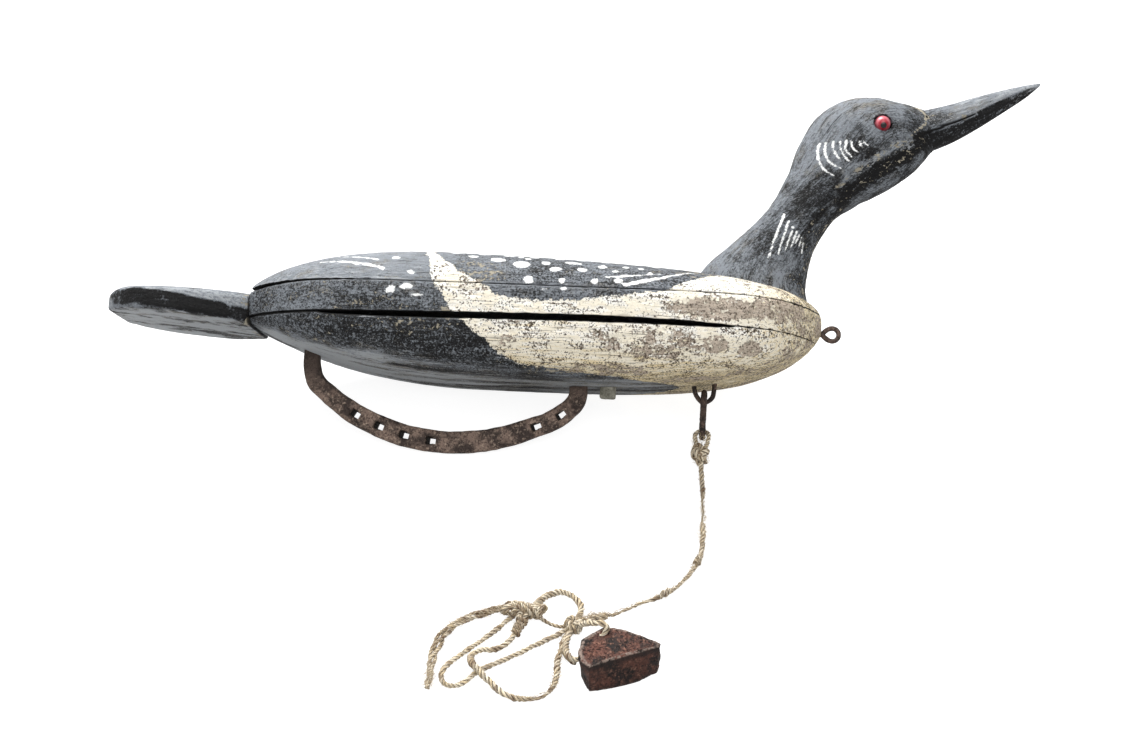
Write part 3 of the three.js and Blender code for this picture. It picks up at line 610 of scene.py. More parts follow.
def weathering(graph: Graph, inputs: dict[str, Socket]) -> dict[str, Value]:
    """Wear of old paint on wood: noise at several sizes, some of it drawn out along the grain.

    Args:
        graph: The group's nodes.
        inputs: The group's inputs by name.

    Returns:
        What feeds each output.
    """
    layers = (
        ("Streaks", 0.09, 520, 4, 0.62), ("Drags", 0.12, 230, 4, 0.72), ("Checks", 0.035, 900, 3, 0.6),
        ("Blotches", 1.0, 26, 3, 0.55), ("Patches", 0.55, 105, 5, 0.66), ("Specks", 1.0, 270, 5, 0.72),
        ("Grit", 1.0, 620, 3, 0.7))
    wear = {name: graph.noise(graph.stretch(inputs["Place"], (along_grain, 1, 1)), scale, detail, rough)
            for name, along_grain, scale, detail, rough in layers}
    wear["Bubbles"] = graph.cells(graph.stretch(inputs["Place"], (0.8, 1, 1)), 330)
    wear["Height"] = graph.total(0.0, (wear["Specks"], 0.7), (wear["Streaks"], 0.7), (wear["Grit"], 0.6))
    return wear


def rusting(graph: Graph, inputs: dict[str, Socket]) -> dict[str, Value]:
    """Rust on forged iron: patches of tone, blooms of brighter rust, and pits with their relief.

    Args:
        graph: The group's nodes.
        inputs: The group's inputs by name.

    Returns:
        What feeds each output.
    """
    patches = graph.noise(inputs["Place"], 70, 4, 0.62)
    bloom = graph.noise(inputs["Place"], 330, 4, 0.75)
    pits = graph.rise(graph.noise(inputs["Place"], 700, 3, 0.65), 0.46, 0.36)
    height = graph.math("SUBTRACT", bloom, graph.math("MULTIPLY", pits, inputs["Pitting"]))
    return {"Patches": patches, "Bloom": bloom, "Pits": pits, "Height": height}


PLACE_INPUT = {"Place": ("NodeSocketVector", None)}
WEATHERING = Effect("weathered paint", weathering, PLACE_INPUT)
RUSTING = Effect("rusted iron", rusting, {**PLACE_INPUT, "Pitting": ("NodeSocketFloat", 0.6)})

Colour = tuple[float, float, float, float]


def paint(red: int, green: int, blue: int) -> Colour:
    """A colour in light from its values on a screen.

    Args:
        red: Red value, from 0 to 255.
        green: Green value.
        blue: Blue value.

    Returns:
        Linear red, green and blue, by the screen curve's power of 2.4, and an alpha of one.
    """
    share = np.array([red, green, blue]) / 255
    linear = np.where(share <= 0.04045, share / 12.92, ((share + 0.055) / 1.055) ** 2.4)
    return (*(float(value) for value in linear), 1.0)


def surface_shader(graph: Graph, colour: Value, rough: Value, height: Value, depth: float,
                   **fixed: float) -> None:
    """End a material with one surface shader and a bump.

    Args:
        graph: The material's nodes.
        colour: Base colour.
        rough: Roughness.
        height: Relief, from about 0 to 1.
        depth: Depth of that relief in metres.
        fixed: Other shader values, by input name with underscores for spaces.
    """
    bump = graph.node("ShaderNodeBump", {"Height": height, "Distance": depth, "Strength": 1.0})
    shader = graph.node("ShaderNodeBsdfPrincipled", {
        "Base Color": colour, "Roughness": rough, "Normal": bump.outputs[0],
    })
    for name, value in fixed.items():
        shader.inputs[name.replace("_", " ")].default_value = value
    end = graph.node("ShaderNodeOutputMaterial")
    graph.tree.links.new(shader.outputs[0], end.inputs["Surface"])


def new_material(name: str) -> tuple[Material, Graph]:
    """Make an empty material.

    Args:
        name: Its name.

    Returns:
        The material and its nodes.
    """
    material = bpy.data.materials.new(name)
    material.use_nodes = True
    material.node_tree.nodes.clear()
    return material, Graph(material.node_tree)


@dataclass(frozen=True)
class PaintedWood:
    """Old black and cream paint with white marks, worn through to grey wood, with painted shade in gaps and
    painted highlights on some rims and ridges.
    """

    ink: Colour = paint(10, 10, 11)
    slate: Colour = paint(126, 131, 137)
    dusty: Colour = paint(124, 117, 104)
    # Also the colour of painted highlights on the tail's top rim, the head's ridge and the beak.
    rubbed: Colour = paint(172, 176, 180)
    tan: Colour = paint(172, 164, 146)
    cream: Colour = paint(242, 234, 215)
    chalk: Colour = paint(252, 250, 244)
    stain: Colour = paint(224, 202, 152)
    pit: Colour = paint(58, 46, 33)
    bare: Colour = paint(200, 184, 167)
    white: Colour = paint(246, 247, 246)
    # Painted shade in cracks, seams, the nail hole and the mouth.
    crack: Colour = paint(6, 5, 5)

    def black(self, graph: Graph, wear: dict[str, Socket]) -> Socket:
        """Black paint: slate to ink, dusty in patches, checked and rubbed pale along the grain, with painted
        shade and painted highlights where the marks say so.

        Args:
            graph: The material's nodes.
            wear: The weathering's outputs.

        Returns:
            The colour.
        """
        smooth, worn = graph.mark(Mark.SMOOTH), graph.mark(Mark.WORN)
        broad = graph.total(-1.35, (wear["Blotches"], 1.4), (wear["Patches"], 1.3))
        fine = graph.total(-4.65, (wear["Streaks"], 2.0), (wear["Specks"], 2.3), (wear["Grit"], 5.0))
        grain = graph.total(-5.5, (wear["Streaks"], 5.0), (wear["Drags"], 6.0))
        # The shade mark sets the tone, and in places it is painted shade.
        tone = graph.total(graph.mark(Mark.SHADE), (broad, graph.total(1.0, (smooth, 2.2))),
                           (fine, graph.total(1.0, (smooth, -1.0))), (grain, worn))
        dusty = graph.total(wear["Patches"], (worn, 0.2))
        light = graph.mix(graph.rise(dusty, 0.50, 0.80, 0.8), self.slate, self.dusty)
        colour = graph.mix(graph.rise(tone, -0.15, 1.15), light, self.ink)
        checks = graph.total(wear["Checks"], (worn, 0.07))
        colour = graph.mix(graph.rise(checks, 0.57, 0.66, 0.8), colour, self.ink)
        # Rubbed pale, and painted highlights where the edge mark is high.
        rub_and_highlight = graph.total(wear["Streaks"], (worn, 0.14), (graph.mark(Mark.EDGE), 0.20),
                          (wear["Specks"], 0.45), (wear["Grit"], 0.7))
        return graph.mix(graph.rise(rub_and_highlight, 1.20, 1.48, 0.8), colour, self.rubbed)

    def pale(self, graph: Graph, wear: dict[str, Socket]) -> Socket:
        """Cream paint: chalky above, stained along the grain lower down, and pitted.

        Args:
            graph: The material's nodes.
            wear: The weathering's outputs.

        Returns:
            The colour.
        """
        worn = graph.mark(Mark.WORN)
        colour = graph.mix(graph.rise(wear["Patches"], 0.42, 0.60), self.cream, self.chalk)
        stain = graph.total(wear["Streaks"], (wear["Patches"], 0.9), (worn, 0.42))
        colour = graph.mix(graph.rise(stain, 0.96, 1.44, 0.9), colour, self.stain)
        checks = graph.total(wear["Checks"], (worn, 0.07))
        colour = graph.mix(graph.rise(checks, 0.60, 0.70, 0.7), colour, self.pit)
        pits = graph.total(wear["Grit"], (wear["Patches"], 0.60), (worn, 0.05))
        return graph.mix(graph.rise(pits, 0.862, 0.918, 0.95), colour, self.pit)

    def material(self) -> Material:
        """Build the finish.

        Returns:
            The material.
        """
        made, graph = new_material("painted wood")
        wear = WEATHERING.use(graph, {"Place": graph.place()})
        specks, grit, patches = wear["Specks"], wear["Grit"], wear["Patches"]
        pale = graph.total(graph.mark(Mark.CREAM), (specks, 9.0), (patches, 8.0))
        is_pale = graph.rise(pale, 8.25, 8.75)
        white = graph.total(graph.mark(Mark.WHITE), (specks, 3.2), (grit, 2.6))
        is_white = graph.rise(white, 2.6, 3.2, 0.95)
        lost = graph.total(graph.mark(Mark.BARE), (specks, 18.0), (grit, 16.0), (wear["Bubbles"], 9.0),
                           (patches, 22.0))
        lost = graph.rise(lost, 30.8, 32.2, 0.92)
        grey = graph.mix(graph.rise(wear["Streaks"], 0.36, 0.66), self.bare, self.pit)
        grey = graph.mix(0.55, grey, self.bare)
        flecks = graph.total(grit, (specks, 0.9))
        grey = graph.mix(graph.rise(flecks, 0.985, 1.06, 0.85), grey, self.pit)
        colour = graph.mix(is_pale, self.black(graph, wear), self.pale(graph, wear))
        colour = graph.mix(lost, colour, graph.mix(is_pale, self.tan, grey))
        colour = graph.mix(is_white, colour, self.white)
        # Painted shade: cracks, seams, the nail hole and the mouth go near black.
        colour = graph.mix(graph.mark(Mark.INNER), colour, self.crack)
        height = graph.total(wear["Height"], (lost, -0.7), (is_pale, 0.35))
        rough = graph.total(0.42, (specks, 0.4))
        surface_shader(graph, colour, rough, height, 0.0016, Specular_IOR_Level=0.22)
        return made


@dataclass(frozen=True)
class RustyIron:
    """Rusted iron: dark scale, brown rust, bright blooms, pale edges that are partly a painted highlight, and
    painted shade where the shade mark says so and in recesses.
    """

    name: str
    dark: Colour
    brown: Colour
    bright: Colour
    metal: float = 0.2
    pitting: float = 0.6
    depth: float = 0.0006
    # Pale edges of the weight, partly worn iron and partly a painted highlight.
    worn: Colour = paint(150, 134, 124)
    hollow: Colour = paint(24, 20, 18)

    def material(self) -> Material:
        """Build the finish.

        Returns:
            The material.
        """
        made, graph = new_material(self.name)
        rust = RUSTING.use(graph, {"Place": graph.place(), "Pitting": self.pitting})
        colour = graph.mix(graph.rise(rust["Patches"], 0.40, 0.60), self.dark, self.brown)
        colour = graph.mix(graph.rise(rust["Bloom"], 0.50, 0.72, 0.8), colour, self.bright)
        # Pits are real; the shade mark adds painted shade, on the shoe towards its heels and on the weight's
        # sides.
        dark = graph.math("MAXIMUM", graph.math("MULTIPLY", rust["Pits"], 0.8), graph.mark(Mark.SHADE))
        colour = graph.mix(dark, colour, self.dark)
        # Pale where the edge mark says so: partly worn, partly a painted highlight.
        worn = graph.math("MULTIPLY", graph.mark(Mark.EDGE), graph.rise(rust["Bloom"], 0.40, 0.55))
        colour = graph.mix(worn, colour, self.worn)
        # Painted shade in the recesses.
        colour = graph.mix(graph.mark(Mark.INNER), colour, self.hollow)
        rough = graph.total(0.4, (rust["Bloom"], 0.5))
        surface_shader(graph, colour, rough, rust["Height"], self.depth, Metallic=self.metal,
                       Specular_IOR_Level=0.35)
        return made


@dataclass(frozen=True)
class EyeGlass:
    """Painted-back glass: a dark pupil in a red bead that is pinker towards its rim."""

    pupil: Colour = paint(14, 6, 10)
    deep: Colour = paint(158, 26, 42)
    rim: Colour = paint(196, 104, 114)

    def material(self) -> Material:
        """Build the finish.

        Returns:
            The material.
        """
        made, graph = new_material("eye glass")
        turn = graph.mark(Mark.SHADE)
        cloud = graph.noise(graph.place(), 400, 2, 0.5)
        red = graph.mix(graph.rise(graph.total(turn, (cloud, 0.9)), 0.9, 1.45), self.deep, self.rim)
        colour = graph.mix(graph.rise(turn, 0.46, 0.32), red, self.pupil)
        surface_shader(graph, colour, 0.3, cloud, 0.00003, Coat_Weight=0.2, Coat_Roughness=0.12)
        return made


@dataclass(frozen=True)
class Hemp:
    """Twisted hemp: light and golden fibre, dark weathered yarns, and painted shade in a soil colour in the
    grooves between the yarns.
    """

    light: Colour = paint(244, 234, 212)
    golden: Colour = paint(222, 203, 166)
    dark: Colour = paint(124, 101, 78)
    # Colour of the painted shade in the grooves.
    soil: Colour = paint(52, 38, 26)

    def material(self) -> Material:
        """Build the finish.

        Returns:
            The material.
        """
        made, graph = new_material("hemp")
        fibre = graph.noise(graph.place(), 2400, 3, 0.6)
        length = graph.noise(graph.place(), 260, 3, 0.6)
        strand = graph.noise(graph.place(), 800, 3, 0.6)
        colour = graph.mix(graph.rise(length, 0.40, 0.62), self.light, self.golden)
        colour = graph.mix(graph.mark(Mark.SHADE), colour, self.dark)
        colour = graph.mix(graph.rise(strand, 0.50, 0.60, 0.7), colour, self.dark)
        colour = graph.mix(graph.rise(fibre, 0.52, 0.70, 0.4), colour, self.dark)
        # Painted shade in the grooves between the yarns.
        colour = graph.mix(graph.mark(Mark.GROOVE), colour, self.soil)
        surface_shader(graph, colour, 0.9, fibre, 0.0004)
        return made


def build_finishes() -> Finishes:
    """Build each finish of the decoy once.

    Returns:
        The materials, by the record's slots.
    """
    looks = {
        Slot.PAINT: PaintedWood(),
        Slot.GLASS: EyeGlass(),
        Slot.HEMP: Hemp(),
        Slot.SHOE: RustyIron(
            "horseshoe iron", paint(62, 51, 46), paint(134, 114, 102), paint(196, 174, 156), depth=0.001),
        Slot.DARK_IRON: RustyIron(
            "dark iron", paint(40, 33, 31), paint(86, 70, 62), paint(134, 114, 102), depth=0.0003),
        Slot.STUD: RustyIron(
            "stud iron", paint(112, 110, 98), paint(150, 147, 134), paint(196, 192, 178), 0.1, 0.4, 0.0005),
        Slot.WEIGHT: RustyIron(
            "weight iron", paint(26, 14, 11), paint(96, 58, 46), paint(158, 116, 98), 0.1, 1.0, 0.0012),
    }
    return {slot: look.material() for slot, look in looks.items()}


# The camera, the light and the floor.


@dataclass(frozen=True)
class Studio:
    """A pale floor, a soft light from beyond the bird's back and the photograph's view."""

    aim: Triple = (-0.001, -0.074, 0.0493)
    stand: Triple = (0.0646, -1.147, 0.8658)
    lens: float = 50.0
    sensor: float = 36.0
    sky: float = 0.5
    floor_side: float = 14.0
    floor_drop: float = 0.0004
    floor_grey: float = 0.34
    floor_glow: float = 0.32
    seen_glow: float = 0.56
    lamps: tuple[tuple[str, Triple, float, float], ...] = (
        ("key", (-0.5, 1.2, 1.75), 1.5, 84), ("fill", (0.3, -1.3, 1.9), 1.8, 24))

    def face(self, name: str, data: bpy.types.ID, stand: Triple) -> Item:
        """Stand a camera or a light so that it faces the bird.

        Args:
            name: Name of the object.
            data: The camera or the light.
            stand: Where it stands, in metres.

        Returns:
            The new object.
        """
        item = bpy.data.objects.new(name, data)
        item.location = stand
        item.rotation_euler = (Vector(self.aim) - Vector(stand)).to_track_quat("-Z", "Y").to_euler()
        bpy.context.collection.objects.link(item)
        return item

    def camera(self) -> None:
        """Set the camera up at the photograph's viewpoint."""
        data = bpy.data.cameras.new("camera")
        data.lens = self.lens
        data.sensor_width = self.sensor
        bpy.context.scene.camera = self.face("camera", data, self.stand)

    def lights(self) -> None:
        """Hang the lamps: square soft lights by name, place, side in metres and power in watts."""
        for name, stand, size, power in self.lamps:
            data = bpy.data.lights.new(name, "AREA")
            data.size = size
            data.energy = power
            self.face(name, data, stand)

    def floor(self) -> None:
        """Lay the floor, a square whose own faint glow keeps it pale."""
        half = self.floor_side / 2
        corners = [(-half, -half), (half, -half), (half, half), (-half, half)]
        mesh = bpy.data.meshes.new("floor")
        mesh.from_pydata([(x, y, -self.floor_drop) for x, y in corners], [], [(0, 1, 2, 3)])
        made, graph = new_material("floor")
        seen = graph.node("ShaderNodeLightPath").outputs["Is Camera Ray"]
        shader = graph.node("ShaderNodeBsdfPrincipled", {
            "Base Color": (*[self.floor_grey] * 3, 1), "Roughness": 1.0, "Emission Color": (1, 1, 1, 1),
            "Emission Strength": graph.total(self.floor_glow, (seen, self.seen_glow)),
        })
        end = graph.node("ShaderNodeOutputMaterial")
        graph.tree.links.new(shader.outputs[0], end.inputs["Surface"])
        mesh.materials.append(made)
        item = bpy.data.objects.new("floor", mesh)
        bpy.context.collection.objects.link(item)

    def build(self) -> None:
        """Set up camera, world, lights and floor."""
        self.camera()
        world = bpy.data.worlds.new("studio")
        world.use_nodes = True
        background = world.node_tree.nodes["Background"]
        background.inputs["Color"].default_value = (1, 1, 1, 1)
        background.inputs["Strength"].default_value = self.sky
        bpy.context.scene.view_settings.view_transform = "Standard"
        bpy.context.scene.world = world
        self.lights()
        self.floor()


# The line and its weight.


def frames(path: Array, guide: Array) -> tuple[Array, Array]:
    """Two directions across a path at each of its points.

    Args:
        path: Points along the path.
        guide: A direction, or one for each point, that is never along the path.

    Returns:
        The direction square to the path and the guide, and the one square to the path and that.
    """
    way = unit(np.gradient(path, axis=0))
    side = unit(np.cross(np.broadcast_to(guide, path.shape), way))
    return side, np.cross(way, side)


@dataclass(frozen=True)
class Rope:
    """A twisted line of three yarns, in millimetres.

    The pitch is the length of a turn, and the soil is how much darker the whole line is.
    """

    radius: float
    pitch: float
    columns: int
    dark_yarn: float
    seed: int
    soil: float = 0.0

    def through(self, points: Points, guide: Array = UP, step: float = 0.7) -> Surface:
        """Wind the yarns along a smooth curve through points."""
        return self.surface(Curve(points).even(step), guide=guide)

    def surface(self, path: Array, girth: Array | None = None, guide: Array = UP) -> Surface:
        """Wind the yarns along a path.

        The radius is the line's own times 0.54 plus 0.46 of the power 0.8 of a cosine's size. The
        cosine is that of one and a half times the turn, which drifts on with the length.

        Args:
            path: Evenly spaced points of the centreline.
            girth: Share of the full radius at each point.
            guide: A direction never along the path.

        Returns:
            The closed tube.
        """
        run = along(path)
        noise = Noise(self.seed)
        girth = np.ones(len(path)) if girth is None else girth
        side, rise = frames(path, guide)
        angle = around(self.columns)[None, :]
        flat = 0 * run
        drift, patch, stray = (noise.at(np.stack([run / size, flat + size, flat], axis=-1), 1, 3)[:, None]
                               for size in (17, 5, 7))
        path = path + 0.16 * self.radius * stray * side
        turn = angle - 2 * np.pi * run[:, None] / self.pitch - 1.6 * drift
        lobe = np.abs(np.cos(1.5 * turn))
        places = np.stack([self.radius * np.cos(turn), self.radius * np.sin(turn),
                           np.broadcast_to(run[:, None] * 0.16, turn.shape)], axis=-1)
        fibre = noise.at(places, 0.8, 3)
        uneven = 1 + 0.14 * fibre + 0.13 * patch
        reach = self.radius * girth[:, None] * (0.54 + 0.46 * lobe ** 0.8) * uneven
        rings = (path[:, None] + side[:, None] * (reach * np.cos(angle))[..., None]
                 + rise[:, None] * (reach * np.sin(angle))[..., None])
        yarn = np.floor(np.mod(1.5 * turn / np.pi + 0.5, 3)).astype(int)
        shade = self.dark_yarn * np.array([0.45, 0, 0.15])[yarn]
        shade = np.clip(shade + 0.1 + 0.5 * patch + 0.35 * drift + 0.45 * fibre + self.soil, 0, 1)
        # The groove mark is painted shade between the yarns, deepest where they meet.
        return loft(rings, {Mark.SHADE: shade, Mark.GROOVE: blend(0.78, 0.1, lobe)}, places)

    def laid(self, path: Array, wide: Array, high: Array, pitch: float) -> Surface:
        """Lay three such lines loosely round one another.

        Args:
            path: Evenly spaced points of the common centreline.
            wide: How far each line strays to the side, at each point.
            high: How far it strays up and down.
            pitch: Length of one turn.

        Returns:
            The three closed tubes.
        """
        side, rise = frames(path, UP)
        turns = [2 * np.pi * (along(path) / pitch + third / 3) for third in range(3)]
        lines = [path + side * (wide * np.cos(turn))[:, None] + rise * (high * np.sin(turn))[:, None]
                 for turn in turns]
        return gather([self.surface(line) for line in lines])


@dataclass(frozen=True)
class Fuzz:
    """Loose fibres that stand off a line and turn away from it by a lift."""

    length: float
    lift: float
    seed: int
    thickness: float = 0.2

    def over(self, points: Points, reach: float, count: int) -> Surface:
        """Scatter fibres over a smooth curve through points."""
        return self.surface(Curve(points).even(1.0), reach, count)

    def surface(self, path: Array, reach: float, count: int) -> Surface:
        """Scatter fibres over a path.

        Each fibre leaves the line at its surface, runs along it while it turns away, and droops
        by the square of its length.

        Args:
            path: Points of the line's centre.
            reach: Radius of the line where they start.
            count: How many fibres.

        Returns:
            All the fibres, each a closed three-sided spike.
        """
        rng = np.random.default_rng(self.seed)
        at = rng.integers(1, len(path) - 1, count)
        way = unit(path[at + 1] - path[at - 1]) * rng.choice([-1, 1], (count, 1))
        out = unit(np.cross(way, rng.normal(size=(count, 3))))
        out[:, 2] = np.abs(out[:, 2]) * 0.8
        bend = unit(rng.normal(size=(count, 3))) * rng.uniform(0.1, 0.9, (count, 1))
        size = self.length * rng.uniform(0.35, 1.5, (count, 1))
        lift = self.lift * rng.uniform(0.2, 1.4, (count, 1))
        share = np.linspace(0, 1, 6)[None, :, None]
        start = path[at] + out * reach * 0.8
        heading = unit(way + out * lift)
        line = (start[:, None] + heading[:, None] * size[:, None] * share
                + bend[:, None] * size[:, None] * share ** 2)
        line[..., 2] = np.maximum(line[..., 2], 0.25)
        turn = around(3)[:, None]
        across = unit(np.cross(heading, [0.31, 0.52, 0.79]))
        up = np.cross(heading, across)
        thick = self.thickness * (1 - 0.75 * share)[..., None]
        ring = across[:, None, None] * np.cos(turn) + up[:, None, None] * np.sin(turn)
        rings = line[:, :, None] + ring * thick
        one = loft(rings[0])
        points = np.concatenate([rings.reshape(count, -1, 3), rings[:, [0, -1]].mean(axis=2)], axis=1)
        size = points.shape[1]
        step = (np.arange(count) * size)[:, None, None]
        shade = np.repeat(rng.uniform(0.05, 0.7, count), size)
        points = points.reshape(-1, 3)
        return Surface(points, (one.quads + step).reshape(-1, 4), (one.fans + step).reshape(-1, 3),
                       {Mark.SHADE: shade, Mark.GROOVE: 0 * shade}, points)


@dataclass(frozen=True)
class Winding:
    """Turns of line wound round a bundle, from the middle of the first turn to that of the last.

    The width and height are over the turns, the line is the wound line's radius, and the lean
    is how far a turn leans along the bundle.
    """

    start: Triple
    end: Triple
    width: float
    height: float
    turns: float
    line: float
    lean: float
    seed: int
    soil: float = 0.0

    def surface(self) -> Surface:
        """Wind the line in a helix whose rings are ovals, each turn a little larger or smaller.

        Returns:
            The wound line with a plain core inside it.
        """
        start, end = np.array(self.start), np.array(self.end)
        way = unit(end - start)
        across = unit(np.cross(UP, way))
        up = np.cross(way, across)
        turns = np.linspace(0, self.turns, int(self.turns * 40) + 1)
        wobble = Noise(self.seed).at(np.stack([turns * 1.7, turns * 0, turns * 0], axis=-1), 1, 2)
        angle = 2 * np.pi * turns
        swell = 1 + 0.10 * wobble
        taper = np.minimum(1, 0.72 + 0.9 * np.minimum(turns, self.turns - turns))
        wide, high = ((size / 2 - self.line) * swell * taper for size in (self.width, self.height))
        drift = (turns / self.turns)[:, None] * (end - start)
        slant = self.lean * np.cos(angle)[:, None] * way
        path = (start + drift + slant + across * (wide * np.cos(angle))[:, None]
                + up * (high * np.sin(angle))[:, None])
        path[:, 2] = np.maximum(path[:, 2], self.line)
        wound = Rope(self.line, 9.0, 18, 0.6, self.seed, self.soil).through(path[::4], way)
        return gather([wound, self.core(start, end, across, up)])

    def core(self, start: Array, end: Array, across: Array, up: Array) -> Surface:
        """A spindle inside the turns: ovals that follow the square root of a half sine.

        Args:
            start: Middle of the first turn.
            end: Middle of the last turn.
            across: Direction of the ovals' width.
            up: Direction of their height.

        Returns:
            The closed spindle.
        """
        share = spread(24, 0.8)[:, None, None]
        angle = around(24)[None, :, None]
        full = np.sin(np.pi * (0.03 + 0.94 * share)) ** 0.5
        wide = (self.width / 2 - self.line) * full * np.cos(angle)
        high = (self.height / 2 - self.line) * full * np.sin(angle)
        rings = start + (end - start) * share + across * wide + up * high
        rings[..., 2] = np.maximum(rings[..., 2], 0.4)
        shape = rings.shape[:2]
        # Half the painted groove shade darkens the core between the turns.
        return loft(rings, {Mark.SHADE: np.full(shape, 0.3), Mark.GROOVE: np.full(shape, 0.5)})


@dataclass(frozen=True)
class Tangle:
    """A tight knot: a line that runs twice round a ring and weaves three times through it.

    Its size is over the line along X, Y and Z, before its turn about the vertical in degrees.
    """

    middle: Triple
    size: Triple
    rope: Rope
    turn: float

    def surface(self) -> Surface:
        """Two and the cosine of three turns, times cosine and sine of two; the sine of three for height.

        Returns:
            The closed line.
        """
        turn = np.linspace(0, 2 * np.pi * 0.985, 260)
        reach = (2 + np.cos(3 * turn)) / 3
        knot = np.stack([reach * np.cos(2 * turn), reach * np.sin(2 * turn), -np.sin(3 * turn)], axis=1)
        half = np.array(self.size) / 2 - self.rope.radius * 0.9
        angle = np.radians(self.turn)
        spin = np.array([[np.cos(angle), np.sin(angle), 0], [-np.sin(angle), np.cos(angle), 0], [0, 0, 1]])
        path = (knot * half) @ spin + np.array(self.middle)
        path[:, 2] = np.maximum(path[:, 2], self.rope.radius * 0.9)
        return self.rope.through(path[::5], np.array([0.11, 0.17, 0.98]))


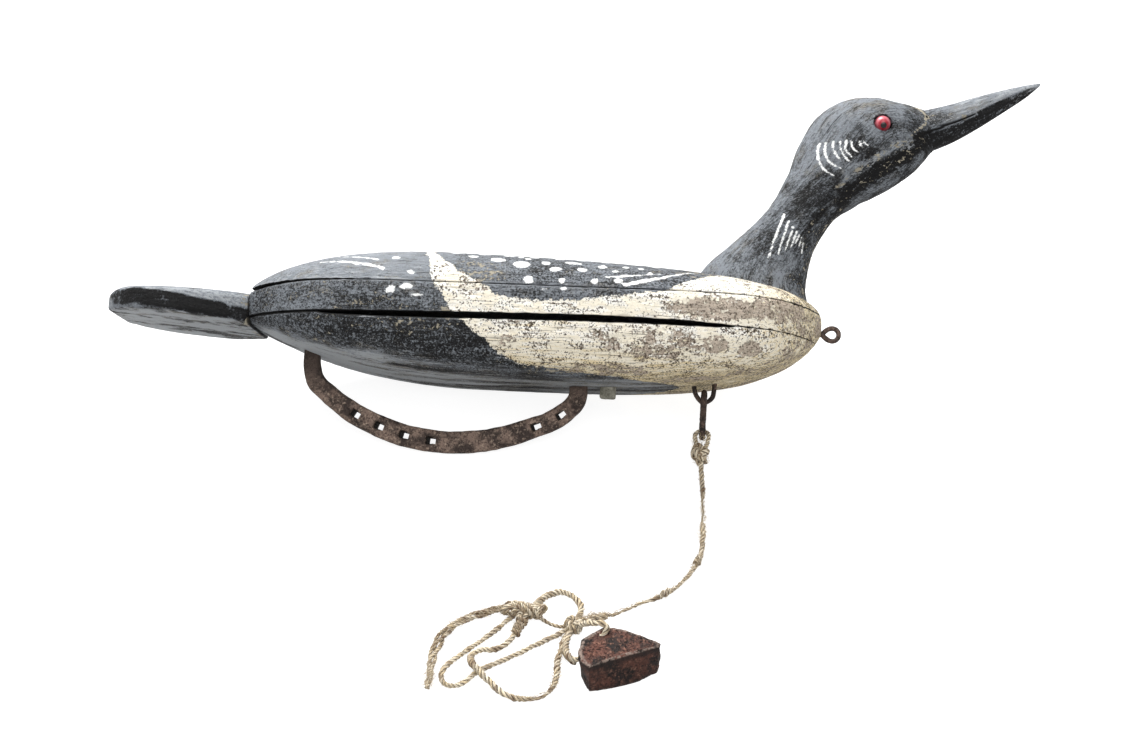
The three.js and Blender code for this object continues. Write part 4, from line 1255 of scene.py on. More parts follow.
@dataclass
class Tackle:
    """The hemp line with its knots, its loose loops and the free end, and the iron weight."""

    finishes: Finishes
    diameter: float = 4.2
    end_diameter: float = 6.2
    step: float = 0.8
    anchor_line: Points = (
        (-1.2, -39.4, 6.5), (-0.8, -46, 5.2), (-0.2, -54, 3.2), (0.2, -62, 2.3), (0.3, -75, 2.2),
        (0.4, -90, 2.2), (0.3, -105, 2.2), (0.1, -120, 2.2), (-0.4, -135, 2.2), (-1.8, -147, 2.2),
        (-4.6, -156, 2.2), (-8.8, -164.5, 2.2), (-13.6, -172.5, 2.2), (-19.5, -181, 2.2),
        (-27.6, -189.6, 2.2), (-37, -195.6, 2.2), (-48, -201.2, 2.2), (-58.6, -208.4, 2.2),
        (-67, -214.4, 3), (-74.6, -218.5, 4.3))
    link_bight: Points = (
        (-2.8, -27, 7.2), (-4, -20, 8), (-6, -12.5, 9.4), (-5.6, -5.4, 10.4), (0, -0.6, 10.8),
        (5.6, -5.4, 10.4), (5.4, -12.5, 9.2), (3, -20, 8), (0.6, -28, 7.2))
    weight_loop: Points = (
        (-97, -233, 8), (-100.4, -243, 7), (-101.6, -252.4, 7.2), (-100.6, -261.4, 8.6),
        (-97.4, -268.4, 10.4), (-92.6, -270.6, 11.6), (-88.2, -268.2, 14.4), (-84.6, -265.4, 16.9),
        (-80.6, -262.2, 19.8), (-76.6, -259.1, 22.6), (-73, -256.2, 25.6), (-72, -252.6, 28.2),
        (-76, -249.8, 28.4), (-81.4, -246.6, 25), (-87, -240.2, 18), (-92.6, -235.4, 11))
    first_loop: Points = (
        (-98.1, -235.4, 5), (-102.4, -239.9, 3.2), (-104.4, -246, 2.2), (-105.6, -255, 2.2),
        (-107.2, -263.5, 2.2), (-107, -272.5, 2.2), (-107, -281.5, 2.2), (-109.6, -290.4, 2.2),
        (-115.6, -297.9, 2.2), (-124, -301.6, 2.2), (-133.6, -302.2, 2.2), (-141.6, -299.6, 2.2),
        (-148.6, -294.4, 2.2), (-154.6, -288.8, 3.4), (-160.6, -283.6, 5.6), (-165.8, -278.7, 6.9),
        (-169.6, -272.4, 5.4), (-171, -265.9, 3.2), (-168.4, -260, 2.2), (-162.6, -256.8, 2.2),
        (-156.6, -256, 2.2), (-150.4, -253.2, 2.2), (-144.8, -247.8, 2.4), (-141, -241.4, 3.6),
        (-138.4, -234.9, 4.4), (-135.6, -227.9, 4.8), (-133.6, -220.4, 6))
    ring_loop: Points = (
        (-131.6, -217.4, 6.4), (-127.1, -210.9, 5.2), (-123.1, -203.9, 3.4), (-117.6, -197.4, 2.3),
        (-110.1, -194, 2.2), (-102.1, -196, 2.2), (-95.8, -202.2, 2.2), (-93, -210.1, 2.2),
        (-93.6, -217.8, 2.4), (-95.8, -224, 3.6), (-97.1, -229.4, 5.5))
    second_loop: Points = (
        (-98.6, -232.9, 5), (-103.4, -234.7, 3.4), (-108.2, -237.6, 2.3), (-116.7, -243.8, 2.2),
        (-127.5, -251.5, 2.2), (-135.3, -257.6, 2.2), (-142.6, -263.1, 2.2), (-149.9, -268, 2.2),
        (-157.2, -272.2, 2.2), (-162.8, -276.4, 2.2), (-168, -282.4, 2.2), (-172.4, -288, 2.2),
        (-177.8, -292, 2.2), (-183.6, -293, 2.2), (-188.4, -289.8, 2.2), (-190.6, -284.2, 2.2),
        (-190, -278, 2.2), (-187, -272.2, 2.2), (-182, -265.8, 2.2), (-175.8, -258.8, 2.2),
        (-167.4, -250.4, 2.2), (-159.6, -241.2, 2.2), (-151.2, -230.6, 2.2), (-144.1, -222.4, 3.2),
        (-138.6, -217.9, 5.5))
    free_end: Points = (
        (-140.6, -217, 6.3), (-146.6, -215.6, 5.6), (-153.1, -215.7, 4.2), (-162.9, -218.6, 3.2),
        (-173, -223.6, 3.2), (-181, -228.4, 3.2), (-187.6, -235, 3.2), (-193.4, -243, 3.2),
        (-196.8, -252, 3.2), (-198.4, -260.4, 3.2), (-199.1, -269.4, 3.2), (-199, -278.4, 3.2),
        (-198.6, -287.4, 3.2), (-199, -297, 3.2))
    stump: Points = ((-99, -233, 6.5), (-92, -228.6, 6.4), (-84, -224, 5.6),
                     (-76, -220.4, 4.6), (-73, -219.4, 4.2))
    strap: Points = ((-99, -236, 5), (-103.6, -245, 3), (-103.4, -254, 2.6),
                     (-99.6, -263, 3.4), (-94, -268.6, 5))
    tie: Points = (
        (-128.6, -220.9, 5.5), (-121.8, -223.8, 3.4), (-115, -227.8, 2.6), (-107.2, -230.7, 3.2),
        (-101.1, -231.9, 5))
    line_girth: Points = (
        (0, 0.13, 0.16, 0.19, 0.30, 0.34, 0.50, 0.60, 0.68, 0.77, 0.9, 1),
        (1, 1, 0.92, 0.45, 0.40, 1.0, 0.95, 0.7, 0.6, 0.85, 0.5, 0.62))
    loop_girth: Points = (
        (0, 0.05, 0.09, 0.13, 0.15, 0.17, 0.22, 0.27, 0.34, 0.40, 0.44, 0.50, 0.54, 0.58, 1),
        (0.9, 1.0, 1.2, 0.66, 0.62, 1.1, 1.25, 1.2, 1.0, 0.95, 1.3, 1.2, 1.25, 0.95, 0.95))
    end_spread: Points = (
        (0, 0.12, 0.3, 0.42, 0.6, 0.75, 0.86, 1), (1.2, 1.9, 2.5, 1.8, 3.1, 2.4, 1.1, 0.8))

    def cord(self, piece: Piece, points: Points, rope: Rope, girth: Points,
             knots: Sequence[Item]) -> None:
        """Make one length of line, knotted at its far end, whose thin stretches still lie on the floor.

        Args:
            piece: What it becomes.
            points: Points of its centreline.
            rope: How it is twisted.
            girth: Shares of the way, and the share of the full radius at each.
            knots: Separate pieces on it; not used.
        """
        path = Curve(points).even(self.step)
        thin = np.interp(np.linspace(0, 1, len(path)), *girth)
        path[:, 2] -= rope.radius * (1 - thin) * (path[:, 2] < rope.radius * 1.6)
        item = piece.make(rope.surface(path, thin), TACKLE, self.finishes)
        self.declare(item, path, self.diameter)

    def declare(self, item: Item, path: Array, diameter: float) -> None:
        """Log the length of one line.

        Args:
            item: The line's object.
            path: Points of its centreline, in millimetres.
            diameter: Its diameter; not used.
        """
        room = TACKLE.place(path)
        length = float(along(room)[-1])
        log.info("%s is %.0f mm long", item.name, length / MM)

    def dress(self, name: str, parts: Sequence[Surface], nodes: tuple[str, ...] = ()) -> Item:
        """Make one hemp piece of several surfaces."""
        return Piece(name, Slot.HEMP, nodes).make(gather(parts), TACKLE, self.finishes)

    def link_knot(self) -> Item:
        """Make the bight through the link and the lumpy knot under it.

        Returns:
            The object, to go with its line.
        """
        parts = [
            Rope(2.0, 9, 20, 0.2, 21).through(self.link_bight),
            Tangle((-1.8, -26.5, 7.0), (16.5, 19, 12.5), Rope(2.5, 12, 20, 0.2, 22), 25).surface(),
            Tangle((-0.6, -33, 6.2), (11.5, 12, 10.5), Rope(2.1, 11, 20, 0.4, 23), -50).surface(),
            Winding((-2.2, -20, 7.2), (-1.4, -36, 6.6), 9, 8, 2.5, 1.7, 2.4, 31).surface(),
            Fuzz(3.4, 1.2, 51).over(((-2, -8, 9), (-1.5, -26, 7), (-1, -40, 6)), 6.0, 260),
        ]
        return self.dress("link_knot_hemp", parts, ("link_knot",))

    def weight_knot(self) -> Item:
        """Make the knot at the weight, its frayed stump and the pale loops through the iron.

        Returns:
            The object, to go with its line.
        """
        parts = [
            Tangle((-97.5, -232.4, 6.8), (15, 15, 12.5), Rope(2.2, 10, 20, 0.3, 26), 40).surface(),
            Winding((-102, -236, 6.2), (-90, -229.8, 6.6), 11, 11, 2.2, 2.0, 2.0, 33).surface(),
            Rope(2.9, 22, 24, 0.3, 27).through(self.stump),
            Rope(2.3, 13, 20, 0.1, 24).through(self.weight_loop, np.array([0.5, -0.6, 0.62])),
            Rope(1.7, 11, 20, 0.3, 28).through(self.strap),
            Fuzz(4.2, 1.2, 52).over(((-100, -233, 7), (-88, -226, 6), (-72, -219, 4.4)), 3.8, 300),
            Fuzz(2.4, 0.8, 53).over(self.weight_loop, 2.1, 160),
        ]
        return self.dress("weight_knot_hemp", parts, ("weight_knot",))

    def whippings(self) -> Item:
        """Make the wrapped joint of the loose loops, the dark knot beside it and the tie to the weight.

        Returns:
            The object, to go with its line.
        """
        parts = [
            Winding((-146, -217.2, 6.4), (-125, -219.6, 6.4), 11.5, 11.5, 5.5, 1.5, 7.5, 38).surface(),
            Winding((-143, -218.2, 6.8), (-129, -219.2, 6.8), 13.5, 13, 3, 1.4, -7.0, 40).surface(),
            Winding((-124.6, -219.4, 6.4), (-121.4, -219.6, 6.4), 13, 12, 1.6, 1.2, 1.0, 41).surface(),
            Winding((-134.2, -224.6, 4.9), (-141, -241.4, 4.6), 8.8, 8.6, 4.5, 1.6, 1.6, 39, 0.5).surface(),
            Tangle((-136, -226, 5.6), (11, 10, 9), Rope(1.6, 9, 18, 0.9, 29, 0.3), 60).surface(),
            Rope(1.6, 10, 18, 0.9, 25, 0.2).through(self.tie, step=self.step),
            Fuzz(4, 0.9, 56).over(((-149, -218, 6.7), (-121, -219.6, 6.7)), 6.0, 220),
            Fuzz(3.4, 0.9, 60).over(((-134, -225, 5), (-141, -241, 5)), 3.6, 90),
        ]
        return self.dress("whippings", parts)

    def lines(self) -> None:
        """The anchor line, the loose loops and the free end, with their knots and fibres."""
        hairs = [
            Winding((-2.6, -150.5, 3.4), (-5.6, -158, 3.4), 7.2, 6.4, 1.6, 1.4, 1.2, 36).surface(),
            Winding((-25.6, -188, 3.2), (-33.6, -193.8, 3.2), 6.4, 6.0, 2.2, 1.3, 1.4, 37).surface(),
            Fuzz(2.8, 0.7, 54).over(self.anchor_line, 1.7, 650),
            Fuzz(4.2, 1.3, 55).over(((0.3, -109, 2.2), (-0.2, -130, 2.2)), 1.9, 90),
            Fuzz(3.6, 1.3, 61).over(((-1, -146, 2.6), (-8, -163, 2.6)), 2.0, 60),
            Fuzz(3.6, 1.3, 62).over(((-22, -185, 2.6), (-37, -196, 2.6)), 2.0, 60),
        ]
        fray = self.dress("line_fray", hairs)
        self.cord(Piece("anchor_line_hemp", Slot.HEMP, ("anchor_line",)), self.anchor_line,
                  Rope(2.2, 15.5, 24, 0.4, 11), self.line_girth, [fray, self.link_knot(), self.weight_knot()])
        whole = self.first_loop + self.ring_loop + self.second_loop
        loose = self.dress("loop_fray", [
            Fuzz(2.6, 0.7, 57).over(whole, 1.9, 1500),
            Fuzz(5.0, 1.3, 59).over(self.first_loop[2:8], 2.0, 110)])
        self.cord(Piece("loose_loops_hemp", Slot.HEMP, ("spare_line",)), whole,
                  Rope(2.1, 11.5, 24, 0.6, 12), self.loop_girth, [self.whippings(), loose])
        self.free_line()

    def free_line(self) -> None:
        """The free end: three strands that open out beyond the whipping and close at the tip."""
        path = Curve(self.free_end).even(self.step)
        wide = np.interp(np.linspace(0, 1, len(path)), *self.end_spread)
        high = np.minimum(0.6 * wide, 1.5)
        strands = Rope(1.45, 8.5, 18, 1.2, 13, 0.1).laid(path, wide, high, 46)
        fray = self.dress("end_fray", [Fuzz(4.4, 0.7, 58).over(self.free_end, 3.0, 520)])
        item = Piece("free_end_hemp", Slot.HEMP).make(strands, TACKLE, self.finishes)
        self.declare(item, path, self.end_diameter)

    def build(self) -> None:
        """Make the line, then the weight."""
        self.lines()
        Weight().build(self.finishes)


@dataclass(frozen=True)
class Weight:
    """A rough wedge of scrap iron."""

    middle: tuple[float, float] = (-61, -268)
    height: float = 25.0
    edge: float = 1.8
    plan: Points = (
        (-22, -23, -22.5, -22), (-10.5, -20.5, -12.5, -16), (3.5, -15.5, 4.5, -8.5),
        (15.5, -10, 17.5, -2.5), (27, -2, 28, 1.5), (29, 4, 28.5, 4.5), (22.5, 8, 22.5, 8),
        (13.5, 12.5, 13.5, 12.5), (-0.5, 17.5, -0.5, 17.5), (-12, 19, -12, 19),
        (-22.5, 11, -22.5, 11), (-29, 4.5, -29, 4.5), (-28, -8.5, -31, -7.5),
        (-25.5, -15.5, -28.5, -15.5))

    def surface(self) -> Surface:
        """Rings from the middle of the foot out, up the sides and in over the top.

        A ring is the plan between foot and top, pushed in and out by noise, less an inset that
        rounds both edges by the fourth root of one less a fourth power.

        Returns:
            The closed block.
        """
        plan = np.array(self.plan, dtype=float)
        corners = np.vstack([plan, plan[:1]])
        run = along(corners[:, :2])
        marks = np.linspace(0, run[-1], 241)[:-1]
        foot, top = (np.stack([np.interp(marks, run, corners[:, n + k]) for k in (0, 1)], axis=-1)
                     for n in (0, 2))
        cap = 1 - (1 - spread(26, 0)[:-1]) ** 1.4
        sides = spread(44, 0.5)
        share = np.concatenate([cap, np.ones(len(sides)), cap[::-1]])
        level = np.concatenate([0 * cap, sides, 0 * cap + 1])
        outline = foot + (top - foot) * level[:, None, None]
        reach = np.linalg.norm(outline, axis=-1, keepdims=True)
        height = level * self.height
        away = np.minimum(height, self.height - height)
        inset = self.edge * (1 - (1 - (1 - np.clip(away / self.edge, 0, 1)) ** 4) ** 0.25)
        flat = outline * (1 - inset[:, None, None] / reach) * share[:, None, None]
        rings = np.concatenate([flat + np.array(self.middle),
                                np.broadcast_to(height[:, None, None], flat.shape[:2] + (1,))], axis=-1)
        noise = Noise(8)
        push = 0.55 * noise.at(rings, 9, 4) - 0.5 * blend(0.25, 0.6, noise.at(rings, 5, 2))
        out = unit(np.concatenate([outline, np.zeros(flat.shape[:2] + (1,))], axis=-1))
        out[..., 2] = np.where(share < 1, np.sign(level - 0.5) * 1.2, 0)[:, None]
        rings = rings + unit(out) * push[..., None]
        rings[..., 2] = np.clip(rings[..., 2], 0, None)
        # Pale top and bottom edges, partly worn and partly a painted highlight; painted shade on the sides,
        # darkest under the top edge and near the foot.
        brink = (0.8 * blend(1.5, 0.4, self.height - height + 25 * (1 - share))
                 + 0.3 * blend(2.5, 0.5, height))
        side = 0.3 + 0.55 * blend(0.72, 0.88, level) + 0.3 * blend(0.25, 0.08, level)
        side = side * blend(0.9, 1.0, share) * blend(0.2, 1.2, self.height - height)
        edge, shade = (np.broadcast_to(values[:, None], flat.shape[:2]) for values in (brink, side))
        return loft(rings, {Mark.EDGE: edge, Mark.SHADE: shade})

    def build(self, finishes: Finishes) -> None:
        """Make the block."""
        Piece("weight_block", Slot.WEIGHT, ("anchor_weight",)).make(self.surface(), TACKLE, finishes)


# The body.


@dataclass(frozen=True)
class Fall:
    """How the body shrinks from its fullest station: reach of the curve, lateness, bluntness."""

    station: float
    aft: Triple
    fore: Triple

    def share(self, x: Array, length: float) -> Array:
        """Share of the full size at stations.

        Args:
            x: Stations.
            length: Length of the body.

        Returns:
            One less the share of the way to the end to the power of its lateness, all to one
            over its bluntness.
        """
        ahead = x > self.station
        stretch, late, blunt = (np.where(ahead, fore, aft) for fore, aft in zip(self.fore, self.aft))
        run = stretch * np.where(ahead, length - self.station, self.station)
        way = np.clip(np.abs(x - self.station) / run, 0, 1)
        return (1 - way ** late) ** (1 / blunt)


@dataclass(frozen=True)
class BodyForm:
    """The carved form that the three boards share."""

    length: float = 486.0
    tip: float = 0.4
    half: float = 82.0
    back: float = 65.5
    belly: float = 44.0
    waist: float = 15.0
    full_up: float = 2.3
    full_down: float = 4.2
    wide: Fall = Fall(250, (1.12, 5.5, 1), (1, 7, 1))
    high: Fall = Fall(160, (1.062, 2, 2), (1, 1.6, 3.3))
    deep: Fall = Fall(200, (1.175, 2.2, 1.1), (1, 4, 1.8))

    def size(self, x: Array) -> tuple[Array, Array, Array]:
        """How large the body is at stations.

        Args:
            x: Stations.

        Returns:
            Half width, height above the waist and depth below it.
        """
        x = np.minimum(x, self.length - self.tip)
        return (self.half * self.wide.share(x, self.length),
                (self.back - self.waist) * self.high.share(x, self.length),
                (self.belly + self.waist) * self.deep.share(x, self.length))

    def reach(self, x: Array, angle: Array) -> Array:
        """Distance from the waist's middle to the surface in a direction.

        Args:
            x: Stations.
            angle: Directions round the section, 0 to the right and a quarter turn up.

        Returns:
            The superellipse's radius: the sum of the powers of the scaled cosine and sine, to
            minus one over that power.
        """
        half, up, down = self.size(x)
        above = np.sin(angle) > 0
        tall = np.where(above, up, down)
        power = np.where(above, self.full_up, self.full_down)
        across = np.abs(np.cos(angle)) / np.maximum(half, 0.3)
        rise = np.abs(np.sin(angle)) / np.maximum(tall, 0.3)
        return (across ** power + rise ** power) ** (-1 / power)

    def points(self, x: Array, reach: Array, angle: Array) -> Array:
        """Points at distances from the waist's middle in directions."""
        return np.stack([x, -reach * np.cos(angle), self.waist + reach * np.sin(angle)], axis=-1)

    def angle_at(self, x: Array, level: Array) -> Array:
        """Where a level cuts the right side, the superellipse solved for its width.

        Args:
            x: Stations.
            level: Height at each.

        Returns:
            Directions from the waist's middle.
        """
        half, up, down = self.size(x)
        rise = level - self.waist
        tall = np.where(rise > 0, up, down)
        power = np.where(rise > 0, self.full_up, self.full_down)
        share = np.clip(np.abs(rise) / np.maximum(tall, 0.3), 0, 0.9999)
        return np.arctan2(rise, half * (1 - share ** power) ** (1 / power))


@dataclass(frozen=True)
class Seams:
    """Heights of the seam faces: the bowed open crack and the lifted rear end."""

    gap: float = 0.15
    crack: float = 4.6
    start: float = 66.0
    end: float = 408.0
    bow: float = 3.0
    middle: float = 27.0
    lift: float = 66.0

    def bowed(self, x: Array) -> Array:
        """The bow: its rise times the sine of half a turn over the crack's length."""
        share = np.clip((x - self.start) / (self.end - self.start), 0, 1)
        return self.bow * np.sin(np.pi * share ** 1.6)

    def belly_top(self, x: Array) -> Array:
        """Top of the belly board: the bow less the crack, which closes by a late square root."""
        way = np.clip(np.abs(2 * x - self.start - self.end) / (self.end - self.start), 0, 1)
        return self.bowed(x) - self.gap - self.crack * np.sqrt(1 - way ** 2.6)

    def middle_bottom(self, x: Array) -> Array:
        """Underside of the middle board."""
        return self.bowed(x) + self.gap

    def drop(self, x: Array) -> Array:
        """How far the rear end has curled away, as a share that falls to nothing ahead."""
        return np.clip(1 - x / self.lift, 0, 1) ** 1.5

    def middle_top(self, x: Array) -> Array:
        """Top of the middle board."""
        return self.middle - self.gap - 5.5 * self.drop(x)

    def back_bottom(self, x: Array) -> Array:
        """Underside of the back board."""
        return self.middle + self.gap - 2.0 * self.drop(x)


@dataclass(frozen=True)
class BodyPaint:
    """The pattern on the body, at stations and degrees above or below the waist.

    A degree is so many millimetres of surface. Each patch worn to bare wood has a station, an
    angle, a reach along and up, and a level, which at 3 leaves little paint and at -4 a few chips.
    """

    degree: float = 1.15
    cream: Points = (
        (148, 96), (146.5, 50), (159.4, 10.6), (175.1, -6.6), (184.7, -13.6), (203.2, -22.3),
        (215.6, -30.2), (232.6, -37), (268.4, -41.8), (315.9, -48.6), (352.7, -65.3), (366, -83.4),
        (366, -110), (520, -110), (520, 110), (425, 110), (410, 60), (391.9, 30.9), (373.3, 18.5),
        (352.2, 9.4), (317.6, 4.3), (284.5, 1.1), (248.9, -1.1), (215.3, 1.5), (203, 7.3),
        (181, 16.5), (167, 27), (158, 38), (154, 60), (153, 96))
    spots: tuple[Spot, ...] = (
        Spot(172.7, 44.1, 6, 5), Spot(190.1, 34.7, 9, 6), Spot(210.6, 30.1, 12, 7.5),
        Spot(229, 39.5, 6, 4), Spot(236.2, 35.2, 5, 4), Spot(231.5, 25.7, 14, 9.5),
        Spot(251, 29, 7, 5.5), Spot(272.8, 31.7, 14, 5), Spot(259.8, 21.8, 10, 6),
        Spot(282, 22.1, 9, 6), Spot(297.4, 28.5, 8, 6), Spot(308.2, 22.4, 7, 4),
        Spot(317.1, 29.8, 5, 4), Spot(329.3, 28.8, 5, 3.6), Spot(337, 21.9, 6, 4),
        Spot(238.3, 11.9, 7, 6), Spot(265.8, 12.1, 5, 5), Spot(292.1, 12.3, 6, 5.5),
        Spot(311.5, 13.7, 7, 4), Spot(266.8, 7, 4, 2), Spot(251.4, 6, 4, 2.4),
        Spot(126.2, 28.5, 6, 4), Spot(141.1, 14.5, 5, 3), Spot(125.8, 2.8, 7, 5),
        Spot(138.8, 4.8, 9, 4), Spot(148.3, -0.3, 8, 2))
    strokes: tuple[Stroke, ...] = (
        Stroke(2.9, ((118, 17), (106, 20), (93.8, 22.6), (80, 25.4), (62, 28))),
        Stroke(2.0, ((112, 26), (103, 28.6), (94.5, 31), (74.8, 38))),
        Stroke(3.4, ((317.3, 10.9), (333.4, 14.4), (350, 19), (373.5, 30.5))),
        Stroke(2.0, ((301.2, 15.9), (321, 18.4), (345.4, 22.4))))
    patches: tuple[tuple[float, float, float, float, float], ...] = (
        (398, -1, 50, 8, 2.2), (448, 3, 30, 12, 1.6), (392, -22, 12, 6, 2.5), (420, -25, 11, 6, 3),
        (485, 0, 8, 60, 2), (372, -56, 34, 9, 0), (300, -41, 60, 7, -1.5), (222, -24, 10, 4, 1),
        (436, -56, 60, 24, -2), (140, -12, 84, 10, -4.8), (340, -22, 56, 11, -2), (470, -20, 26, 44, -1.5),
        (196, 14, 22, 16, -3), (70, -30, 50, 12, -7), (50, 4, 50, 10, -6.6), (410, 30, 60, 14, -3))

    def all_spots(self) -> list[Spot]:
        """The seen spots and seeded rows of the same ovals over the rest of the back.

        Returns:
            The spots, by station and angle.
        """
        rng = np.random.default_rng(14)
        more = []
        for row, angle in enumerate((44, 54, 64, 74, 84)):
            for x in np.arange(176 + 9 * (row % 2), 350, 21):
                size = rng.uniform(0.75, 1.25)
                shift = rng.uniform(-3, 3, 2)
                more.append(Spot(x + shift[0], angle + shift[1], 9 * size, 6 * size))
        return [*self.spots, *more]

    def marks(self, x: Array, degrees: Array) -> Marks:
        """Where paint of each kind lies.

        Args:
            x: Stations of the surface's points.
            degrees: Their angles above the waist, the same on both sides.

        Returns:
            Depth inside the cream patch and the white marks, and how bare the wood is.
        """
        scale = (1, self.degree)
        spots = np.stack([x.ravel(), degrees.ravel()], axis=1) * scale
        cream = inside_outline(spots, np.array(self.cream) * scale)
        dabs = [Spot(s.x, s.y * self.degree, s.length, s.height) for s in self.all_spots()]
        dabs += [Stroke(s.width, np.array(s.points) * scale) for s in self.strokes]
        white = deepest(dabs, spots)
        bare = np.where(cream > 0, -6.5, -10.0)
        for station, angle, reach, rise, level in self.patches:
            way = (spots - (station, angle * self.degree)) / (reach, rise * self.degree)
            share = blend(1.35, 0.6, np.linalg.norm(way, axis=1))
            bare = np.maximum(bare, -9 + (level + 9) * share)
        values = {Mark.CREAM: cream, Mark.WHITE: white, Mark.BARE: bare}
        return {mark: value.reshape(x.shape) for mark, value in values.items()}


@dataclass
class Board:
    """One board of the body, from its rear end to the station where it runs out.

    Its floor and roof give the heights of its seams, where it has them. Its tone is how dark its
    black paint is, and its rear light how much lighter that is towards the tail.
    """

    piece: Piece
    reach: float
    columns: int
    floor: Callable[[Array], Array] | None = None
    roof: Callable[[Array], Array] | None = None
    form: BodyForm = field(default_factory=BodyForm)
    design: BodyPaint = field(default_factory=BodyPaint)
    tone: float = 0.5
    rear_light: float = 0.0
    rows: int = 340
    seam_columns: int = 9
    rounding: float = 1.5

    def angles(self, x: Array) -> list[Array]:
        """Directions of the carved sides, for every station, going round from the right.

        Args:
            x: Stations.

        Returns:
            One grid of directions for each carved side of the board.
        """
        share = spread(self.columns, 0.7)[None, :]
        low, high = (seam and self.form.angle_at(x, seam(x))[:, None] for seam in (self.floor, self.roof))
        if high is None:
            return [low + (np.pi - 2 * low) * share]
        if low is None:
            return [np.pi - high + (np.pi + 2 * high) * share]
        right = low + (high - low) * share
        return [right, (np.pi - right)[:, ::-1]]

    def carve(self, x: Array, angle: Array) -> tuple[Array, Array, Array]:
        """Points of one carved side, with tool marks and worn seam edges.

        An edge is rounded as a quarter circle over a distance that noise makes uneven.

        Args:
            x: Stations, one to a row.
            angle: Directions for every row.

        Returns:
            The points, the painted shade along the seam, and how rubbed its edge is.
        """
        x = np.broadcast_to(x[:, None], angle.shape)
        reach = self.form.reach(x, angle)
        bare = self.form.points(x, reach, angle)
        noise = Noise(2)
        relief = 0.30 * noise.at(bare, (46, 9, 9), 2) + 0.13 * noise.at(bare, (9, 2.2, 2.2), 3)
        chips = blend(0.30, 0.75, noise.at(bare + 90, (11, 4, 4), 2))
        gap = np.minimum(np.abs(angle - angle[:, :1]), np.abs(angle - angle[:, -1:])) * reach
        round_off = self.rounding * (0.75 + 0.9 * chips)
        near = 1 - np.clip(gap / round_off, 0, 1)
        reach = reach + relief - round_off * (1 - np.sqrt(1 - near ** 2)) - 0.35 * chips
        reach = np.maximum(reach, 0.2)
        ragged = gap + 0.35 * noise.at(bare, (7, 1.6, 1.6), 2)
        upper = bare[..., 2] > self.form.waist
        # Painted shade along the seam: a band whose width changes along the body, wider towards the rear.
        width = np.where(upper, 0.35 + 0.75 * blend(130, 60, x) + 0.5 * blend(440, 465, x),
                         0.9 + 0.6 * blend(150, 70, x) - 0.4 * blend(390, 420, x))
        dark, rubbed = blend(0.0, -0.5, ragged - width), 0.9 * blend(3.2, 0.6, gap)
        return self.form.points(x, reach, angle), dark, rubbed

    def surface(self) -> Surface:
        """Rings of carved sides joined across the seams.

        Returns:
            The closed board.
        """
        x = self.reach * spread(self.rows, 0.45)
        sides = self.angles(x)
        carved = [self.carve(x, angle) for angle in sides]
        share = np.linspace(0, 1, self.seam_columns + 2)[1:-1][None, :, None]
        points, angles, edges, inner = [], [], [], []
        for number, (side, dark, edge) in enumerate(carved):
            start = side[:, -1:]
            end = carved[(number + 1) % len(carved)][0][:, :1]
            points += [side, start + (end - start) * share]
            flat = np.zeros((self.rows, self.seam_columns))
            degrees = np.degrees(np.arctan2(np.sin(sides[number]), np.abs(np.cos(sides[number]))))
            angles += [degrees, flat + degrees[:, -1:]]
            edges += [edge, flat]
            # Painted shade: the seam faces go black, and the carved sides darken near them.
            inner += [dark, flat + 1]
        rings, degrees = np.concatenate(points, axis=1), np.concatenate(angles, axis=1)
        stations = np.broadcast_to(x[:, None], degrees.shape)
        marks = self.design.marks(stations, degrees)
        marks[Mark.EDGE] = np.concatenate(edges, axis=1)
        marks[Mark.INNER] = np.concatenate(inner, axis=1)
        rear = blend(240, 110, stations)
        low = blend(-34, -64, degrees - 13 * rear) * blend(-5, 25, stations) * blend(430, 330, stations)
        shadow = blend(-45, -24, degrees) * blend(4, -8, degrees) * blend(40, 110, stations)
        stained = np.maximum(blend(-6, -55, degrees), 0.8 * blend(390, 480, stations))
        marks[Mark.WORN] = np.where(marks[Mark.CREAM] > 0, stained, low)
        marks[Mark.WHITE] += 0.8 * Noise(33).at(rings, (4.5, 3, 3), 2)
        drag = Noise(31).at(rings, (80, 12, 12), 4) * low * (1 + rear)
        marks[Mark.EDGE] += 1.4 * rear * low + 1.4 * self.rear_light * rear - 1.2 * drag
        light = (0.16 + 0.85 * rear) * low + self.rear_light * rear
        marks[Mark.SHADE] = self.tone + 0.3 * shadow - light + 0.8 * drag
        return loft(rings, marks)


